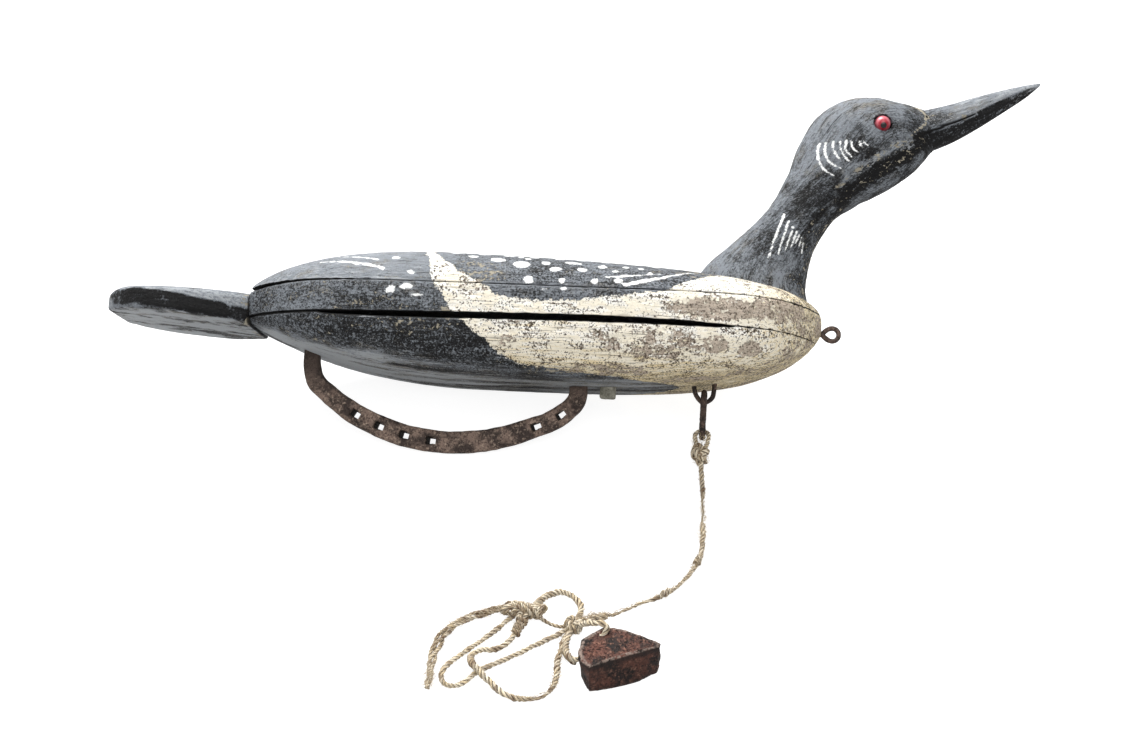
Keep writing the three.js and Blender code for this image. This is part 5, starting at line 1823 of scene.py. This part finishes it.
@dataclass
class Tail:
    """The oval paddle behind the boards."""

    length: float = 130.0
    width: float = 124.0
    root_width: float = 77.0
    tip_arc: float = 0.54
    rows: int = 130
    columns: int = 168

    def outline(self, x: Array) -> Array:
        """Half width: two halves of ovals that meet at the widest station.

        Args:
            x: Stations.

        Returns:
            The half width at each.
        """
        rear = self.length * self.tip_arc
        widest = rear - self.length
        root = -widest / np.sqrt(1 - (self.root_width / self.width) ** 2)
        aft = np.sqrt(np.clip(1 - (np.abs(x - widest) / rear) ** 2.2, 0, 1))
        fore = np.sqrt(np.clip(1 - (np.abs(x - widest) / root) ** 2, 0, 1))
        return self.width / 2 * np.where(x < widest, aft, fore)

    def surface(self) -> Surface:
        """Rings of flat sections, sharp below and bevelled above, rounded over the tip.

        A section is a superellipse of the tenth power below and the fifth above, as a radius
        over directions that crowd towards both edges. At the tip it closes by a quarter circle,
        over a longer way above than below.

        Returns:
            The closed paddle.
        """
        share = (1 - np.cos(np.pi / 2 * np.linspace(0, 1, self.rows)[:, None])) ** 0.9
        x = -self.length + (self.length - 0.3) * share
        half = np.maximum(self.outline(x), 3.0)
        thick = (20 + 8 * share) / 2
        above, below = (np.sqrt(1 - (1 - np.clip(share / run, 0.03, 1)) ** 2) for run in (0.24, 0.085))
        level = 12 - 5 * share
        even = around(self.columns)
        angle = even - 0.45 * np.sin(2 * even)
        angle = np.arctan2(np.sin(angle) * thick / half, np.cos(angle))
        power = np.where(np.sin(angle) > 0, 5.0, 10.0)
        across = np.abs(np.cos(angle)) / half
        rise = np.abs(np.sin(angle)) / thick
        reach = (across ** power + rise ** power) ** (-1 / power)
        stations = np.broadcast_to(x, angle.shape)
        tall = reach * np.sin(angle) * np.where(angle > 0, above, below)
        rings = np.stack([stations, reach * np.cos(angle), level + tall], axis=-1)
        noise = Noise(4)
        under = blend(0.2, -0.5, (rings[..., 2] - level) / thick)
        groove = noise.at(rings, (34, 8, 40), 4)
        rings[..., 2] += under * (0.45 * groove) + (1 - under) * 0.25 * noise.at(rings + 50, (20, 6, 40), 2)
        high = (rings[..., 2] - level) / thick + 0.12 * groove
        flat_side = blend(0.985, 0.93, np.abs(rings[..., 1]) / half) * blend(0.02, 0.07, share)
        return loft(rings, self.marks(rings, share, under, flat_side, high, groove))

    def marks(self, rings: Array, share: Array, under: Array, flat_side: Array, high: Array,
              groove: Array) -> Marks:
        """Where the tail is worn, rubbed and bare and darker at the tip underneath, with a painted highlight
        on its top rim and painted shade at its root.

        Args:
            rings: The tail's points.
            share: Share of the way from the tip, for each ring.
            under: How far a point belongs to the underside.
            flat_side: How far it lies away from the rim.
            high: Its height over the middle as a share of half the thickness.
            groove: Noise drawn out along the grain.

        Returns:
            The values by mark.
        """
        noise = Noise(4)
        marks = {mark: np.full(under.shape, -9.0) for mark in (Mark.CREAM, Mark.WHITE)}
        marks[Mark.BARE] = -10 + (6 + 8 * noise.at(rings + 70, 9, 2)) * blend(-9, -2, rings[..., 0])
        # Painted shade where the tail meets the body.
        marks[Mark.INNER] = 0.9 * blend(-1.6, -0.6, rings[..., 0])
        marks[Mark.WORN] = flat_side * (0.15 + 0.85 * under)
        # Painted highlight: the top rim is lighter.
        top = blend(0.66 - 0.9 * share, 0.90 - 0.8 * share, high)
        root = blend(0.3, 0.7, share)
        foot = blend(-0.45 - 0.3 * root, -0.8 - 0.25 * root, high)
        tip = blend(0.24, 0.05, share + 0.1 * noise.at(rings + 40, 9, 3))
        worn = flat_side * under
        rim = (1 - np.maximum(top, 0.75 * foot)) * (1 - flat_side)
        streak = 1.5 * noise.at(rings + 20, (40, 11, 40), 4) + 1.8 * noise.at(rings + 60, (12, 7, 40), 3)
        streak = np.clip(streak, -1, 1) * worn
        # Darker at the tip underneath.
        tip_dark = 0.5 * blend(0.28, 0.06, share + 0.05 * groove) * worn
        marks[Mark.EDGE] = (1.5 * top * (1 - flat_side) + 0.6 * foot + (1.9 * tip - 0.9) * rim + 0.45 * worn
                            - 1.1 * streak - tip_dark)
        marks[Mark.SHADE] = (1.6 - 1.7 * tip) * rim + 1.2 * streak + tip_dark
        marks[Mark.SMOOTH] = 0.5 * (1 - flat_side)
        return marks


@dataclass
class Body:
    """The three boards and the tail."""

    finishes: Finishes
    seams: Seams = field(default_factory=Seams)

    def build(self) -> None:
        """Make each board, then the tail."""
        seams = self.seams
        boards = (
            Board(Piece("back", Slot.PAINT, ("back_board",), 75), 483.9, 124, floor=seams.back_bottom,
                  tone=0.52, rear_light=0.58),
            Board(Piece("middle", Slot.PAINT, ("middle_board",), 75), 485.6, 30,
                  floor=seams.middle_bottom, roof=seams.middle_top, tone=0.42),
            Board(Piece("belly", Slot.PAINT, ("belly_board",), 75), 479.2, 156,
                  roof=seams.belly_top, tone=0.79),
        )
        for board in boards:
            board.piece.make(board.surface(), BIRD, self.finishes)
        Piece("tail", Slot.PAINT, ("tail_paddle",), 55).make(Tail().surface(), BIRD, self.finishes)


# The head.


@dataclass(frozen=True)
class Limb:
    """A carved limb between an upper and a lower line in the middle plane.

    Its lines are rows of upper x and z, lower x and z, and width. It is widest at the waist, a
    share of the way down, and its section's halves are as full as their powers.
    """

    lines: Points
    waist: float
    full_up: float
    full_down: float

    def rings(self, rows: int, columns: int) -> tuple[Array, Array]:
        """Sections along the limb.

        Args:
            rows: How many sections.
            columns: Points round each.

        Returns:
            The points, and for each its pattern place: the distance along the limb, how far it
            is to the side, and its height across the limb.
        """
        table = np.array(self.lines, dtype=float)
        share = np.linspace(0, 1, rows)
        upper, lower = (Curve(table[:, [n, n + 1]]).at(share) for n in (0, 2))
        width = Curve(table[:, [4]]).at(share)
        angle = (np.arange(columns) + 0.5) * 2 * np.pi / columns
        above = np.sin(angle) > 0
        power = 2 / np.where(above, self.full_up, self.full_down)
        across = np.sign(np.cos(angle)) * np.abs(np.cos(angle)) ** power
        rise = np.sign(np.sin(angle)) * np.abs(np.sin(angle)) ** power
        rise = rise * np.where(above, self.waist, 1 - self.waist)
        waist = upper + (lower - upper) * self.waist
        flat = waist[:, None] + (upper - lower)[:, None] * rise[None, :, None]
        side = width / 2 * across[None, :]
        points = np.stack([flat[..., 0], side, flat[..., 1]], axis=-1)
        tall = np.linalg.norm(upper - lower, axis=1)[:, None] * rise[None, :]
        run = np.broadcast_to(along((upper + lower) / 2)[:, None], side.shape)
        return points, np.stack([run, side, tall], axis=-1)


@dataclass
class Head:
    """Neck, head, beak and eyes."""

    finishes: Finishes
    eye: Triple = (531, 23.5, 191.6)
    eye_radius: float = 7.0
    socket: float = 7.7
    limb: Limb = Limb((
        (374, 40, 476, 26, 70), (381, 60, 471, 47, 64), (404, 84, 475, 75, 54), (422, 101, 483, 94, 50),
        (436, 117, 495, 112, 48), (446, 134, 515, 126, 48), (454, 152, 537, 138, 52),
        (463, 178, 556, 152, 57), (477, 202, 566, 161, 58), (496, 216, 571, 167, 55),
        (520, 221, 574, 171, 50), (546, 218, 576, 174, 41), (569, 213, 578, 176, 27)), 0.52, 2.3, 2.1)
    bill: Limb = Limb((
        (566.5, 211.6, 575.6, 175.4, 26.4), (590, 218, 596, 185, 21), (614, 226, 617, 198, 15.5),
        (640, 234, 640, 214, 10), (660, 239, 659, 228, 5.5), (671, 241, 670, 238, 2.4)), 0.5, 2, 2)
    jaw: Points = (
        (590, 196), (575, 193), (561.7, 184.4), (546.1, 170.4), (524.9, 156.9), (503.9, 149), (489.2, 133.3),
        (479.5, 118.3), (475.6, 109.6), (474.3, 89.3), (474, 60), (620, 60), (640, 196))
    face: Points = (
        (563, 211.6), (567.6, 207), (569.6, 201.9), (568.6, 195.4), (561, 187.4), (554, 181))
    # The ridge carries a painted highlight with worn flecks, and the hollow under it carries painted shade.
    ridge: Points = (
        (556, 178), (544.3, 171), (533, 164.6), (522.3, 158.6), (513, 152.6), (503, 145), (494, 132))
    hollow: Points = (
        (566, 180), (551, 166.6), (540, 158), (525, 147), (511, 136.6), (501, 126), (495, 112), (486, 88))
    mouth: Points = ((558, 181), (573, 189.6), (586.6, 196.2), (600, 202.2), (613, 209))
    # A pale line along the upper beak, which also bounds the darker lower part.
    scuff: Points = ((600, 203.2), (613, 211.6), (629, 221), (646, 230.5), (660, 237))
    arcs: tuple[Stroke, ...] = (
        Stroke(2.5, ((477.6, 172), (476.4, 166), (476.9, 159), (481, 150), (490.1, 143.6))),
        Stroke(2.1, ((482.8, 172.5), (482.4, 165), (486, 156), (498, 149))),
        Stroke(2.1, ((489, 173.4), (489.4, 166), (496.5, 156))),
        Stroke(1.4, ((494.9, 173.3), (495.6, 166), (500.5, 158.4), (505, 155))),
        Stroke(2.1, ((499.8, 174.4), (499.6, 167), (505.4, 159.6))),
        Stroke(1.9, ((504.6, 174.1), (504.8, 169), (509.6, 164.4))),
        Stroke(1.7, ((511, 174.2), (511.6, 171), (514.4, 168.4))),
        Stroke(1.7, ((515, 173.5), (516, 171.8), (518.4, 170.8))))
    bars: tuple[Stroke, ...] = (
        Stroke(2.4, ((449.3, 108.4), (442.7, 90), (436.6, 69.5))),
        Stroke(1.9, ((453.2, 103), (450, 92), (444.7, 73))),
        Stroke(1.6, ((456.4, 93.8), (453.6, 86), (450.6, 76.6))),
        Stroke(1.6, ((460.2, 93.8), (457.6, 86), (455.6, 79.8))),
        Stroke(1.2, ((462.6, 91), (459.4, 83.6))), Stroke(1.1, ((464.4, 89), (462.3, 79.8))),
        Stroke(1.1, ((466.4, 85.4), (465.4, 76.2))))
    dot: Spot = Spot(457, 97.4, 2.6, 2.6)
    nail: Spot = Spot(570.6, 202.8, 5.2, 5.2)
    chip: Spot = Spot(603, 205, 6, 5)

    def marks(self, points: Array, places: Array) -> Marks:
        """White strokes, painted shade under the jaw ridge, in the nail hole and in the mouth, and worn
        ridges with a painted highlight.

        Args:
            points: Grid of points.
            places: Their pattern places.

        Returns:
            The values by mark.
        """
        x, z = points[..., 0], points[..., 2]
        face, high, low, slit = (side_depth(points, Stroke(width, line)) for width, line in (
            (1.7, self.face), (9, self.ridge), (15, self.hollow), (2.2, self.mouth)))
        nail = side_depth(points, self.nail)
        rough = Noise(23).at(points, (6, 2, 2), 3)
        throat = blend(452, 474, x - 0.25 * z + 20) * blend(130, 100, z)
        bare = (13 * blend(-0.8, 0.4, face + 1.5 * rough), 7.4 * blend(-1, 4, high + 5 * rough),
                13 * blend(-0.2, 0.4, nail), 5.5 * throat, 5.5 * blend(0, 5, low))
        # Tone: a little darker on the neck and lighter low on it; a painted highlight on the ridge and
        # towards the nape and crown; painted shade in the hollow under the ridge; darker at the throat.
        shade = 0.62 - 0.3 * blend(100, 70, z) + 0.12 * blend(195, 165, z) - 0.3 * blend(-1, 3, high + rough)
        shade += 1.25 * blend(-1, 5, low + 2 * rough) - 0.45 * blend(6, 24, places[..., 2]) + 0.5 * throat
        white = side_depth(points, *self.arcs, *self.bars, self.dot)
        return {
            Mark.CREAM: np.full(x.shape, -9.0),
            Mark.WHITE: white + 0.25 * Noise(19).at(points, 2.5, 2),
            Mark.BARE: -10 + np.maximum.reduce(bare),
            # Painted shade in the nail hole and the mouth slit.
            Mark.INNER: np.maximum(blend(1.0, 1.5, nail), blend(-0.3, 0.3, slit)),
            Mark.WORN: 0.1 + 0.5 * blend(200, 220, z) * blend(460, 500, x),
            Mark.SMOOTH: np.full(x.shape, 0.4),
            # The ridge's painted highlight, and the face line rubbed pale.
            Mark.EDGE: np.maximum(0.5 * blend(-3, 0.5, face), 1.4 * blend(-0.5, 4.0, high + 5 * rough)),
            Mark.SHADE: shade,
        }

    def skull(self) -> Surface:
        """Neck and head: the limb with tool marks, an undercut jaw, the face line and sockets.

        Below the jaw line the width shrinks by a fifth; inside a socket the surface follows the
        socket's ball.

        Returns:
            The closed surface.
        """
        points, places = self.limb.rings(400, 208)
        flat = points[..., [0, 2]].reshape(-1, 2)
        under = blend(-0.5, 3.0, inside_outline(flat, self.jaw)).reshape(points.shape[:2])
        points[..., 1] *= 1 - 0.22 * under
        ridge = blend(-1.4, 0.8, side_depth(points, Stroke(3.2, self.face)))
        points[..., 1] += np.sign(points[..., 1]) * 0.8 * ridge * (np.abs(points[..., 1]) > 4)
        out = unit(np.cross(np.gradient(points, axis=0), np.gradient(points, axis=1)))
        if float((out * (points - points.mean(axis=1, keepdims=True))).sum()) < 0:
            out = -out
        noise = Noise(6)
        relief = 0.45 * noise.at(points, 14, 2) + 0.16 * noise.at(points, 3, 3)
        points = points + out * relief[..., None]
        for side in Side:
            x, y, z = self.eye
            flat_way = np.hypot(points[..., 0] - x, points[..., 2] - z)
            same = points[..., 1] * side.value > 0
            points[..., 1] += side.value * 0.7 * same * blend(self.socket + 3.5, self.socket + 0.5, flat_way)
            deep = np.sqrt(np.maximum(self.socket ** 2 - flat_way ** 2, 0))
            floor = side.value * (y - deep)
            inside = same & (flat_way < self.socket) & (points[..., 1] * side.value > floor * side.value)
            points[..., 1] = np.where(inside, floor, points[..., 1])
        return loft(points, self.marks(points, places), places)

    def beak(self) -> Surface:
        """The beak, with its mouth cut as a narrow groove along each side.

        Returns:
            The closed surface.
        """
        points, places = self.bill.rings(130, 96)
        shape = points.shape[:2]
        flat = points[..., [0, 2]].reshape(-1, 2)
        cut = blend(-0.5, 0.3, side_depth(points, Stroke(2.4, self.mouth)))
        scuff = side_depth(points, Stroke(2.0, self.scuff))
        jaw = (*self.mouth, *self.scuff[1:], (672, 239), (690, 160), (550, 160))
        below = blend(0.8, 3.2, inside_outline(flat, jaw)).reshape(shape)
        points[..., 1] *= 1 - 0.10 * below
        points[..., 1] -= np.sign(points[..., 1]) * np.minimum(1.5 * cut, np.abs(points[..., 1]) * 0.6)
        points[..., 1] *= 1 + 0.035 * Noise(7).at(points, 7, 3)
        marks = self.marks(points, places)
        marks[Mark.WHITE] = np.full(shape, -9.0)
        # Painted shade in the mouth groove.
        marks[Mark.INNER] = np.maximum(marks[Mark.INNER], blend(0.1, 0.8, cut))
        marks[Mark.WORN] = np.full(shape, 0.2)
        chip = blend(-1, 1, side_depth(points, self.chip))
        marks[Mark.BARE] = np.maximum(marks[Mark.BARE], -9 + 12 * chip)
        # Paler along the pale line, at the tip, and over the upper beak towards the tip.
        rubbed = (0.7 * blend(-0.9, 0.6, scuff) + blend(656, 669, points[..., 0])) * (points[..., 0] > 600)
        out = blend(578, 608, points[..., 0])
        marks[Mark.EDGE] = np.maximum(rubbed, (0.2 + 0.9 * out) * (1 - below))
        marks[Mark.EDGE] -= 1.2 * below * (points[..., 0] < 650)
        marks[Mark.SHADE] = 0.25 - 0.4 * out + (1.0 + 0.35 * out) * below
        marks[Mark.SMOOTH] = np.full(shape, 0.2)
        return loft(points, marks, places)

    def bead(self, side: Side) -> Surface:
        """One glass bead: a ball whose shade is the angle from where the bird looks.

        Args:
            side: The side of the head.

        Returns:
            The closed ball.
        """
        turn = around(48)[None, :]
        fall = np.linspace(0.02, np.pi - 0.02, 36)[:, None]
        ball = np.stack([np.sin(fall) * np.cos(turn), side.value * np.cos(fall) + 0 * turn,
                         np.sin(fall) * np.sin(turn)], axis=-1)
        look = unit(np.array([0.05, side.value, -0.52]))
        shade = np.arccos(np.clip(ball @ look, -1, 1))
        centre = np.array(self.eye) * (1, side.value, 1)
        return loft(ball * self.eye_radius + centre, {Mark.SHADE: shade})

    def build(self) -> None:
        """Make the head, the beak and both eyes."""
        Piece("head", Slot.PAINT, ("neck_and_head",), 70).make(self.skull(), BIRD, self.finishes)
        Piece("bill", Slot.PAINT, ("beak",), 70).make(self.beak(), BIRD, self.finishes)
        for side in Side:
            name = side.name.lower()
            Piece(f"bead_{name}", Slot.GLASS, (f"eye_{name}",)).make(
                self.bead(side), BIRD, self.finishes)


# Ironwork.


@dataclass
class Horseshoe:
    """The opened-out shoe on edge under the belly, with its nail holes."""

    line: Points = (
        (48.5, -14), (49.5, -34), (53.5, -47), (68, -60), (92, -76), (121, -88), (152, -94.8),
        (180, -95.4), (212, -91), (243, -80.5), (266, -69), (279, -55), (280, -40), (279, -32))
    thickness: float = 9.0
    hole_length: float = 5.8
    hole_width: float = 5.0
    hole_shift: float = 1.0
    recess: float = 3.2
    recess_length: float = 3.4
    hole_stations: tuple[float, ...] = (91, 112, 134, 157, 246, 267)
    across_cells: int = 7

    def web(self, share: Array) -> Array:
        """Width of the bar: from heel to heel, widened by a power of half a sine turn."""
        heel = 12 + 2 * share
        return heel + (19 - heel) * np.sin(np.pi * share) ** 0.6

    def grid(self) -> tuple[Array, Array, Array, Array, Array]:
        """Rows along the bar that fall on the ends of every hole and recess.

        Returns:
            Middle points, directions along, half widths, for each row's cell whether it lies
            within a hole's length, and for each row whether it lies in a recess.
        """
        path = Curve(self.line).even(0.5)
        run = along(path)
        nearest = [np.argmin(np.abs(path[:, 0] - x)) for x in self.hole_stations]
        centres = run[nearest] + self.hole_shift
        half = self.hole_length / 2
        starts = centres - half - self.recess_length
        stops = np.unique(np.concatenate([[0, run[-1]], starts, centres - half, centres + half]))
        rows = np.concatenate([np.linspace(a, b, max(int((b - a) / 0.95), 2), endpoint=False)
                               for a, b in zip(stops[:-1], stops[1:])] + [[run[-1]]])
        middle = np.stack([np.interp(rows, run, path[:, n]) for n in (0, 1)], axis=1)
        way = unit(np.gradient(middle, axis=0))
        cells = (rows[:-1] + rows[1:]) / 2
        holed = (np.abs(cells[:, None] - centres[None, :]) < half).any(axis=1)
        sunk = ((rows[:, None] > starts) & (rows[:, None] < centres)).any(axis=1)
        return middle, way, self.web(rows / run[-1]) / 2, holed, sunk

    def surface(self) -> Surface:
        """Two skins across the bar, rounded towards its edges, joined there and in the holes.

        Half the thickness falls towards the edge as the third root of one less a cube.

        Returns:
            The closed bar.
        """
        middle, way, half, holed, sunk = self.grid()
        hole = self.hole_width / 2
        outer = 1 - spread(self.across_cells + 1, 0)[:, None] ** 1.3
        beyond = hole + (half[None, :] - hole) * outer
        inner = np.linspace(hole, -hole, 6)[1:-1, None] + 0 * half[None, :]
        across = np.concatenate([beyond, inner, -beyond[::-1]], axis=0).T
        share = np.abs(across) / half[:, None]
        thick = self.thickness / 2 * (1 - np.clip(share, 0, 0.995) ** 7) ** (1 / 3)
        outward = np.stack([-way[:, 1], way[:, 0]], axis=1)[:, None]
        flat = middle[:, None] + outward * across[..., None]
        dent = sunk[:, None] * (np.abs(across) <= hole)
        points = np.stack([np.stack([flat[..., 0], level, flat[..., 1]], axis=-1)
                           for level in (self.recess * dent - thick, thick)])
        # Painted shade fills the recesses.
        inner = np.stack([dent, 0 * dent]).ravel().astype(float)
        noise = Noise(9)
        dents = 0.35 * noise.at(points, 13, 2) + 0.22 * noise.at(points, 3, 3)
        points[..., 1] += np.array([-1, 1])[:, None, None] * dents
        wave = noise.at(np.concatenate([flat, flat[..., :1] * 0], axis=-1), 10, 3)
        points[..., [0, 2]] += (wave * blend(0.6, 1.0, share) * 0.45 * np.sign(across))[..., None] * outward
        rows, columns = across.shape
        near = np.arange(rows * columns).reshape(rows, columns)
        far = near + rows * columns
        window = np.zeros((rows - 1, columns - 1), dtype=bool)
        window[:, self.across_cells:columns - 1 - self.across_cells] = holed[:, None]
        corner = (near[:-1, :-1], near[:-1, 1:], near[1:, 1:], near[1:, :-1])
        front = np.stack(corner, axis=-1)[~window]
        faces = [front, (front + rows * columns)[:, ::-1]]
        solid = np.pad(~window, 1)
        down = solid[1:, 1:-1] & ~solid[:-1, 1:-1], solid[:-1, 1:-1] & ~solid[1:, 1:-1]
        over = solid[1:-1, 1:] & ~solid[1:-1, :-1], solid[1:-1, :-1] & ~solid[1:-1, 1:]
        rows_at = near[:, :-1], near[:, 1:], far[:, 1:], far[:, :-1]
        columns_at = near[:-1, :], near[1:, :], far[1:, :], far[:-1, :]
        for masks, at, flip in ((down, rows_at, False), (over, columns_at, True)):
            for mask, turned in zip(masks, (True, False)):
                wall = np.stack([part[mask] for part in at], axis=-1)
                faces.append(wall[:, ::-1] if turned != flip else wall)
        points = points.reshape(-1, 3)
        # Painted shadow of the body: darker towards the heels.
        marks = {Mark.INNER: inner, Mark.SHADE: 0.8 * blend(-66, -36, points[..., 2])}
        return Surface(points, np.vstack(faces), np.zeros((0, 3), dtype=int), marks, points).outward()


@dataclass(frozen=True)
class Rod:
    """A rough round rod along a curve."""

    radius: float
    seed: int
    columns: int = 20

    def surface(self, path: Array, looped: bool = False, guide: Triple = (0, 1, 0)) -> Surface:
        """Sweep rings along the path, their radius pushed in and out by noise.

        Args:
            path: Evenly spaced points of the centreline.
            looped: Whether the rod closes on itself.
            guide: A direction never along the path.

        Returns:
            The closed rod.
        """
        round_path = np.vstack([path[-2:], path, path[:2]]) if looped else path
        side, rise = frames(round_path, np.array(guide, dtype=float))
        if looped:
            side, rise = side[2:-2], rise[2:-2]
        angle = around(self.columns)[None, :, None]
        out = side[:, None] * np.cos(angle) + rise[:, None] * np.sin(angle)
        rings = path[:, None] + out * self.radius
        noise = Noise(self.seed)
        push = 0.09 * noise.at(rings, 5, 2) + 0.06 * noise.at(rings, 1.4, 2)
        return loft(rings + out * (push * self.radius)[..., None], looped=looped)


@dataclass
class Ironwork:
    """The shoe, the stud, the staple with its link, and the breast ring."""

    finishes: Finishes
    form: BodyForm = field(default_factory=BodyForm)
    staple_x: float = 387.5
    staple_half: float = 8.5
    staple_reach: float = 17.0
    staple_wire: float = 4.0
    link_length: float = 47.0
    link_width: float = 19.0
    link_wire: float = 5.0
    link_slant: float = 10.0
    stud_x: float = 305.5
    stud_size: float = 13.5
    stud_reach: float = 8.8
    ring_z: float = 10.5
    ring_outer: float = 15.6
    ring_wire: float = 4.2

    def belly(self, x: float) -> float:
        """Height of the belly's keel line at a station."""
        return self.form.waist - float(self.form.size(np.array(x))[2])

    def staple(self) -> None:
        """The U of wire under the breast, its legs let into the wood."""
        belly, reach = self.belly(self.staple_x), self.staple_half
        bend = belly - self.staple_reach + self.staple_wire / 2
        x = self.staple_x
        points = ((x - reach - 1, 0, belly + 4), (x - reach, 0, belly - 3),
                  (x - reach * 0.72, 0, bend + reach * 0.6), (x, 0, bend),
                  (x + reach * 0.78, 0, bend + reach * 0.5), (x + reach, 0, belly - 3),
                  (x + reach, 0, belly + 8))
        rod = Rod(self.staple_wire / 2, 41).surface(Curve(points).even(0.7))
        Piece("staple_wire", Slot.DARK_IRON, ("belly_staple",)).make(rod, BIRD, self.finishes)

    def link(self) -> None:
        """The long link: two half circles joined by straights, hung in the staple's bend."""
        bend = self.belly(self.staple_x) - self.staple_reach + self.staple_wire / 2
        hung = BIRD.place(np.array([[self.staple_x, 0, bend]]))[0] / MM
        radius = (self.link_width - self.link_wire) / 2
        straight = (self.link_length - self.link_width) / 2
        half_turn = np.linspace(0, np.pi, 24, endpoint=False)
        arc = np.stack([0 * half_turn, radius * np.cos(half_turn),
                        straight + radius * np.sin(half_turn)], axis=1)
        rise = np.linspace(straight, -straight, 32, endpoint=False)[:, None] * (0, 0, 1)
        path = np.vstack([arc, rise + (0, -radius, 0), -arc, (0, radius, 0) - rise])
        hook = straight - (self.link_width / 2 - self.link_wire - self.staple_wire / 2 - 0.3)
        lean = np.radians(self.link_slant)
        turned = np.stack([path[:, 0], path[:, 1] * np.cos(lean) + path[:, 2] * np.sin(lean),
                           path[:, 2] * np.cos(lean) - path[:, 1] * np.sin(lean)], axis=1)
        centre = hung + np.array([0, -hook * np.sin(lean), -hook * np.cos(lean)])
        rod = Rod(self.link_wire / 2, 42, 22).surface(turned + centre, True, (1, 0, 0))
        Piece("link_rod", Slot.DARK_IRON, ("staple_link",)).make(rod, Pose((0, 0, 0)), self.finishes)

    def ring(self) -> None:
        """The eye at the tip of the breast: a wire that leaves the wood and bends round like a drop."""
        radius = (self.ring_outer - self.ring_wire) / 2
        centre = self.form.length + self.ring_outer / 2 + 1
        turn = np.linspace(np.pi * 1.06, np.pi * 2.98, 90)
        point = 2.2 * np.maximum(-np.cos(turn), 0) ** 4
        eye = np.stack([centre + radius * np.cos(turn) - point, 0.9 * (turn - 2 * np.pi) / np.pi,
                        self.ring_z + radius * np.sin(turn)], axis=1)
        shank = np.array([[centre - radius - 16, 0, self.ring_z], [centre - radius - 9, -0.3, self.ring_z],
                          [centre - radius - 4.5, -0.6, self.ring_z - 0.4]])
        rod = Rod(self.ring_wire / 2, 43).surface(Curve(np.vstack([shank, eye])).even(0.6))
        Piece("ring_wire", Slot.DARK_IRON, ("breast_ring",)).make(rod, BIRD, self.finishes)

    def stud(self) -> None:
        """The square stud: a rounded square drawn out of the belly, its end dented."""
        belly = self.belly(self.stud_x)
        rise = np.concatenate([np.zeros(12), np.linspace(0, 1, 26)])
        share = np.concatenate([np.linspace(0.05, 1, 12, endpoint=False), np.ones(26)])
        angle = around(80)
        square = (np.abs(np.cos(angle)) ** 7 + np.abs(np.sin(angle)) ** 7) ** (-1 / 7)
        depth = self.stud_reach + 5
        away = np.clip(rise * depth / 1.3, 0, 1)
        shrink = 1 - 0.13 * (1 - np.sqrt(1 - (1 - away) ** 2))
        reach = self.stud_size / 2 * square[None, :] * (share * shrink)[:, None]
        level = np.broadcast_to((belly - self.stud_reach + rise * depth)[:, None], reach.shape)
        rings = np.stack([self.stud_x + reach * np.cos(angle), reach * np.sin(angle), level], axis=-1)
        noise = Noise(44)
        rings += 0.28 * noise.at(rings, 4, 3)[..., None] * unit(rings - rings.mean(axis=(0, 1)))
        Piece("stud", Slot.STUD, ("square_stud",)).make(loft(rings), BIRD, self.finishes)

    def build(self) -> None:
        """Make all the ironwork."""
        Piece("shoe", Slot.SHOE, ("horseshoe",), 50).make(Horseshoe().surface(), BIRD, self.finishes)
        self.stud()
        self.staple()
        self.link()
        self.ring()


def main() -> None:
    """Build the decoy part by part."""
    logging.basicConfig(level=logging.INFO, format="%(name)s: %(message)s")
    Studio().build()
    finishes = build_finishes()
    for part in (Tackle(finishes), Body(finishes), Head(finishes), Ironwork(finishes)):
        part.build()
        log.info("%s done", type(part).__name__)


if __name__ == "__main__":
    main()
